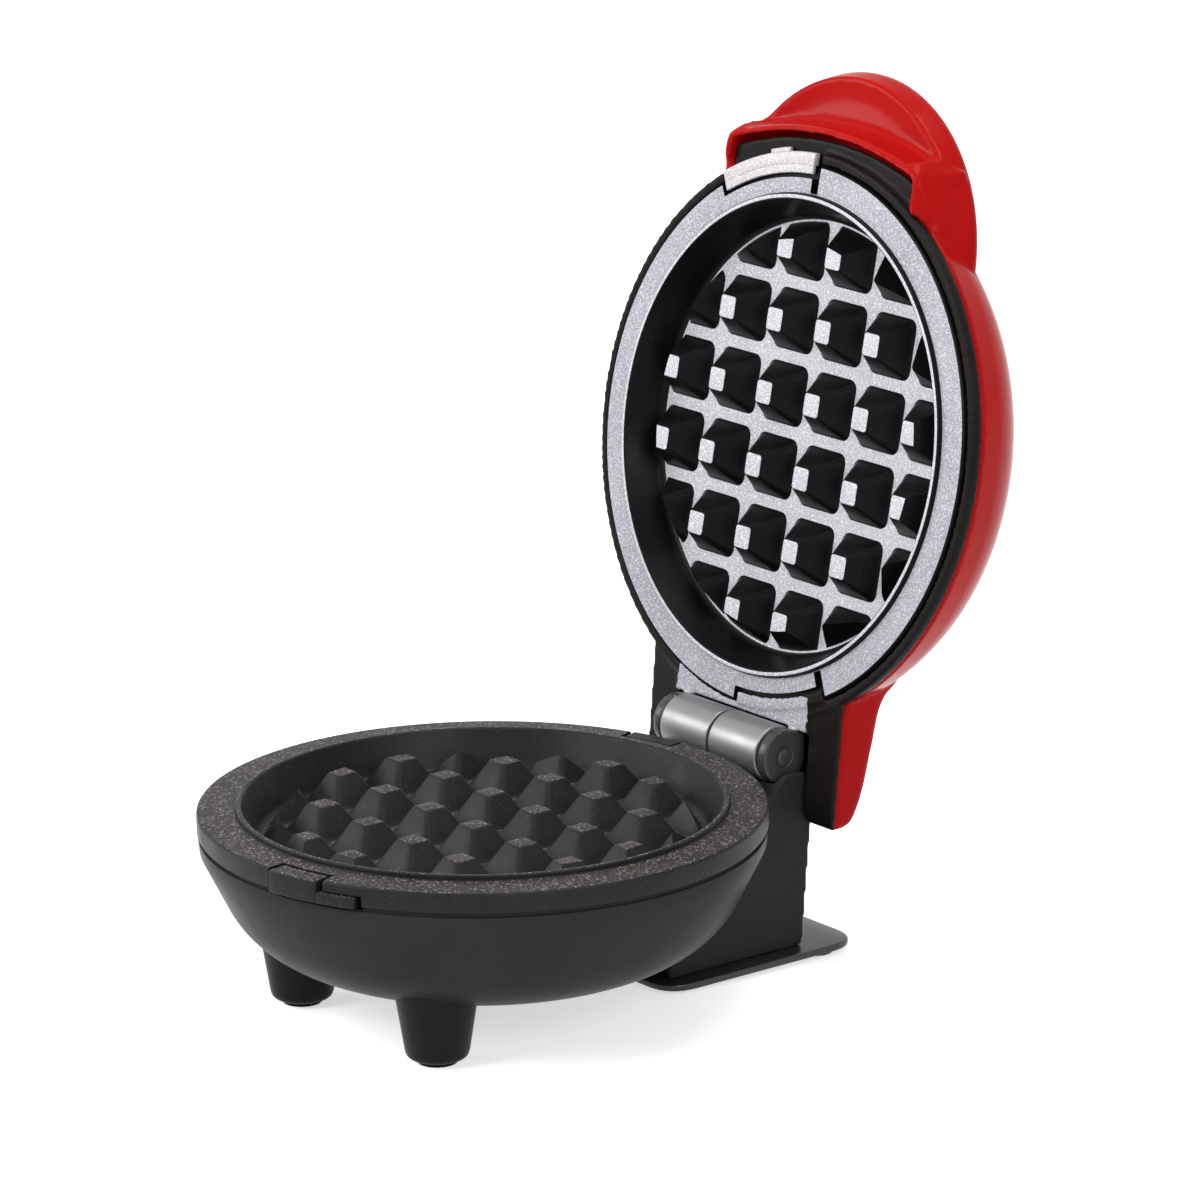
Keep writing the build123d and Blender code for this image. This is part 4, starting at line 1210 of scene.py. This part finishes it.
    def _hood(self) -> Piece:
        """Draw the rear hood, round its edges and hollow its arms."""
        side = softened(lifted(self.hood_side), {1: 2.2, 2: 2.4, 3: 3.0, 5: 4.0}, 5)
        hood = Bench.slab("hood", side, -self.hood_half, self.hood_half)
        Bench.round_edges(hood, 1.6, 4, lambda spot, way: abs(way.x) < 0.5 and abs(spot.x) > 31.9
                          and spot.z > level(8.0) and spot.y > 48.0)
        under = list(self.hood_under)
        hollow = lifted([(80.2, -1.0), (80.2, 7.0)] + under)
        near, far = self.arm_hollow
        for low, high in ((-far, -near), (near, far)):
            Bench.meet(hood, Bench.slab("arm_hollow", hollow, low, high))
        between = lifted([(90.0, -1.0), (90.0, 10.1)] + under)
        return Bench.meet(hood, Bench.slab("between", between, -self.arm_in, self.arm_in))


@dataclass
class LidInside:
    """Black liner behind the upper plate and the indicator on the lid's top."""

    lens_r: float = 3.4
    neck_half: float = 22.4
    neck_from: float = 54.0
    neck_to: float = 62.4
    neck_rise: float = 8.0
    neck_clear: float = 57.4
    knuckle_from: float = 16.0
    knuckle_r: float = 7.4
    tip: Tuple[Flat, ...] = ((77.6, 2.0), (85.0, 2.0), (85.0, 9.4), (82.3, 9.4), (81.9, 8.2),
                             (81.2, 7.3), (80.0, 6.5), (77.6, 6.0))

    def build(self, wardrobe: Wardrobe) -> None:
        """Model and dress the liner and the lens."""
        liner = Bench.copy_of("lid_liner", "liner_moulding")
        tips = Bench.slab("arm_tips", lifted(self.tip), -33.0, 33.0)
        tips.data.transform(STANCE.raised())
        Bench.moulded(Bench.meet(liner, tips), 0.45, 3)
        # The neck takes the upper plate's flat finish, which is painted lit.
        wardrobe.deliver(liner, "lid_liner", "lid", "liner_black", STANCE.raised(), None,
                         ("liner_black", "plate_bright", "knuckle_grey"), self._neck, placed=True)
        top, skirt_r = level(LID_TOP), self.lens_r + 1.2
        profile = [(r, top + rise) for r, rise in (
            (0.0, 0.9), (2.4, 0.75), (3.2, 0.35), (self.lens_r, -0.2), (self.lens_r, -2.0),
            (skirt_r, -2.0), (skirt_r, -2.9), (1.85, -2.9), (1.85, -1.1), (0.0, -1.1))]
        lens = Bench.turned("lens_button", softened(profile, {1: 0.6, 2: 0.4, 3: 0.3}, 3), 48,
                            (0.0, LENS_Y))
        wardrobe.deliver(lens, "indicator_lens", "lid", "lens_clear", STANCE.raised())

    def _neck(self, spot: Vector, normal: Vector) -> int:
        """Tell the coated neck, 1, painted lit like the upper plate's flats, and the grey knuckles,
        2, from the black liner, 0.
        """
        rise = spot.z - STANCE.rim_z
        if (abs(spot.x) < self.neck_half and self.neck_from < spot.y < self.neck_to
                and math.hypot(spot.x, spot.y) > self.neck_clear and rise < self.neck_rise
                and normal.z < -0.6):
            return 1
        near_line = math.hypot(spot.y - STANCE.hinge_y, rise - STANCE.hinge_rise) < self.knuckle_r
        return 2 if self.knuckle_from < abs(spot.x) < self.neck_half + 0.3 and near_line else 0


@dataclass
class InnerParts:
    """Solids of the frame that keep their shape and get a finish."""

    finishes: Dict[str, str] = field(default_factory=lambda: {
        "cord_gland": "gland_rubber", "foot_screws": "steel", "front_pad_left": "foot_pad",
        "front_pad_right": "foot_pad", "rear_pad_left": "foot_pad", "rear_pad_right": "foot_pad",
        "hinge_pin_left": "steel", "hinge_pin_right": "steel", "indicator_lamp": "lamp_glass",
        "terminal_block": "terminal_white"})
    under_plates: Dict[str, str] = field(default_factory=lambda: {
        "heater": "heater_sheath", "tray": "tray_sheet", "tray_screws": "steel",
        "thermostat": "switch_body", "thermal_fuse": "fuse_sleeve"})

    def build(self, wardrobe: Wardrobe) -> None:
        """Dress the solids."""
        for node, finish in self.finishes.items():
            wardrobe.dress_node(node, finish)
        for plate in ("lower", "upper"):
            for part, finish in self.under_plates.items():
                wardrobe.dress_node(f"{plate}_{part}", finish)


@dataclass
class ViewPoint:
    """The photograph's camera."""

    azimuth: float = 52.25
    elevation: float = 15.568
    roll: float = -0.568
    lens: float = 182.466
    place: Spot = (979.52, -754.85, 431.4)

    def build(self) -> None:
        """Set up the camera."""
        data = bpy.data.cameras.new("camera")
        camera = bpy.data.objects.new("camera", data)
        bpy.context.scene.collection.objects.link(camera)
        turn = Matrix.Identity(4)
        for angle, axis in ((self.azimuth, "Z"), (90.0 - self.elevation, "X"), (self.roll, "Z")):
            turn = turn @ Matrix.Rotation(math.radians(angle), 4, axis)
        camera.matrix_world = Matrix.Translation(Vector(self.place) * MM) @ turn
        data.sensor_width = 36.0
        data.lens = self.lens
        data.clip_start = 0.01
        data.clip_end = 100.0
        bpy.context.scene.camera = camera


@dataclass
class Studio:
    """White floor, soft boxes and an even surround."""

    surround: float = 0.42
    floor_glow: float = 0.60
    floor_size: float = 12.0
    floor_white: float = 0.86
    boxes: Tuple[Tuple[str, Spot, float, float], ...] = (
        ("key_box", (-0.3, -1.7, 1.25), 0.8, 21.0), ("side_box", (1.6, -0.3, 0.9), 0.7, 8.0),
        ("top_box", (0.1, 0.3, 1.7), 0.8, 13.0), ("left_card", (-1.15, -0.9, 0.6), 0.5, 6.0))
    aim: Spot = (0.0, 0.0, 0.09)

    def build(self) -> None:
        """Set the floor, the world and the lamps."""
        bpy.context.scene.view_settings.view_transform = "Standard"
        self._floor()
        self._world()
        for name, place, size, power in self.boxes:
            self._softbox(name, place, size, power)

    @staticmethod
    def _seen(tree: Tree) -> Socket:
        """1 for rays that show a background: camera, glossy and transmission."""
        rays = wired(tree, "LightPath", {}).outputs
        seen = rays["Is Camera Ray"]
        for ray in ("Is Glossy Ray", "Is Transmission Ray"):
            seen = wired(tree, "Math", {0: seen, 1: rays[ray]}, operation="MAXIMUM").outputs[0]
        return seen

    def _floor(self) -> None:
        """White floor that keeps the shadow."""
        bpy.ops.object.select_all(action="DESELECT")
        bpy.ops.mesh.primitive_plane_add(size=self.floor_size, location=(0.0, 0.0, 0.0))
        floor = bpy.context.active_object
        floor.name = "floor"
        material = bpy.data.materials.new("floor_white")
        material.use_nodes = True
        tree = material.node_tree
        white = {"Base Color": (*[self.floor_white] * 3, 1.0), "Roughness": 0.9,
                 "Specular IOR Level": 0.1}
        shader = feed(tree, tree.nodes["Principled BSDF"], white)
        strength = wired(tree, "Math", {0: self._seen(tree), 1: self.floor_glow},
                         operation="MULTIPLY")
        glow = wired(tree, "Emission", {"Strength": strength.outputs[0]})
        both = wired(tree, "AddShader", {0: shader.outputs[0], 1: glow.outputs[0]})
        feed(tree, tree.nodes["Material Output"], {"Surface": both.outputs[0]})
        floor.data.materials.append(material)

    def _world(self) -> None:
        """Even surround, white where it is seen."""
        world = bpy.data.worlds.new("surround")
        bpy.context.scene.world = world
        world.use_nodes = True
        tree = world.node_tree
        light = feed(tree, tree.nodes["Background"], {"Color": WHITE, "Strength": self.surround})
        white = wired(tree, "Background", {"Color": WHITE, "Strength": 1.0})
        mix = wired(tree, "MixShader", {0: self._seen(tree), 1: light.outputs[0],
                                        2: white.outputs[0]})
        feed(tree, tree.nodes["World Output"], {"Surface": mix.outputs[0]})

    def _softbox(self, name: str, place: Spot, size: float, power: float) -> None:
        """Hang a square lamp that looks at the cooker."""
        data = bpy.data.lights.new(name, "AREA")
        data.size = size
        data.energy = power
        lamp = bpy.data.objects.new(name, data)
        bpy.context.scene.collection.objects.link(lamp)
        lamp.location = place
        lamp.rotation_mode = "QUATERNION"
        lamp.rotation_quaternion = (Vector(place) - Vector(self.aim)).to_track_quat("Z", "Y")


def main() -> None:
    """Build the cooker's sub-assemblies in order."""
    logging.basicConfig(level=logging.INFO, format="%(name)s %(message)s")
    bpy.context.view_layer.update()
    ViewPoint().build()
    Studio().build()
    wardrobe = Wardrobe()
    BaseHousing().build(wardrobe)
    # The lower plate's coating is painted in shade and the upper plate's coating is painted lit.
    lower = CookingPlate("lower_plate_casting", 61.2, 4.4, ((6.5, 20.5), (186.5, 200.5)),
                         ((20.4, 29.0),))
    lower.build(wardrobe, STANCE.on_lower(), "base", "plate_dark")
    upper = CookingPlate("upper_plate_casting", 59.6, 2.4, ((-31.6, 1.1), (152.0, 182.0)),
                         notch_r=56.5, lit_floor_finish="plate_lit_floor",
                         slots=((-1.4, 1.1), (152.0, 154.4)))
    upper.build(wardrobe, STANCE.on_upper(), "lid", "plate_bright")
    for assembly in (Catches(), Barrels(), LidShell(), LidInside(), InnerParts()):
        assembly.build(wardrobe)


if __name__ == "__main__":
    main()
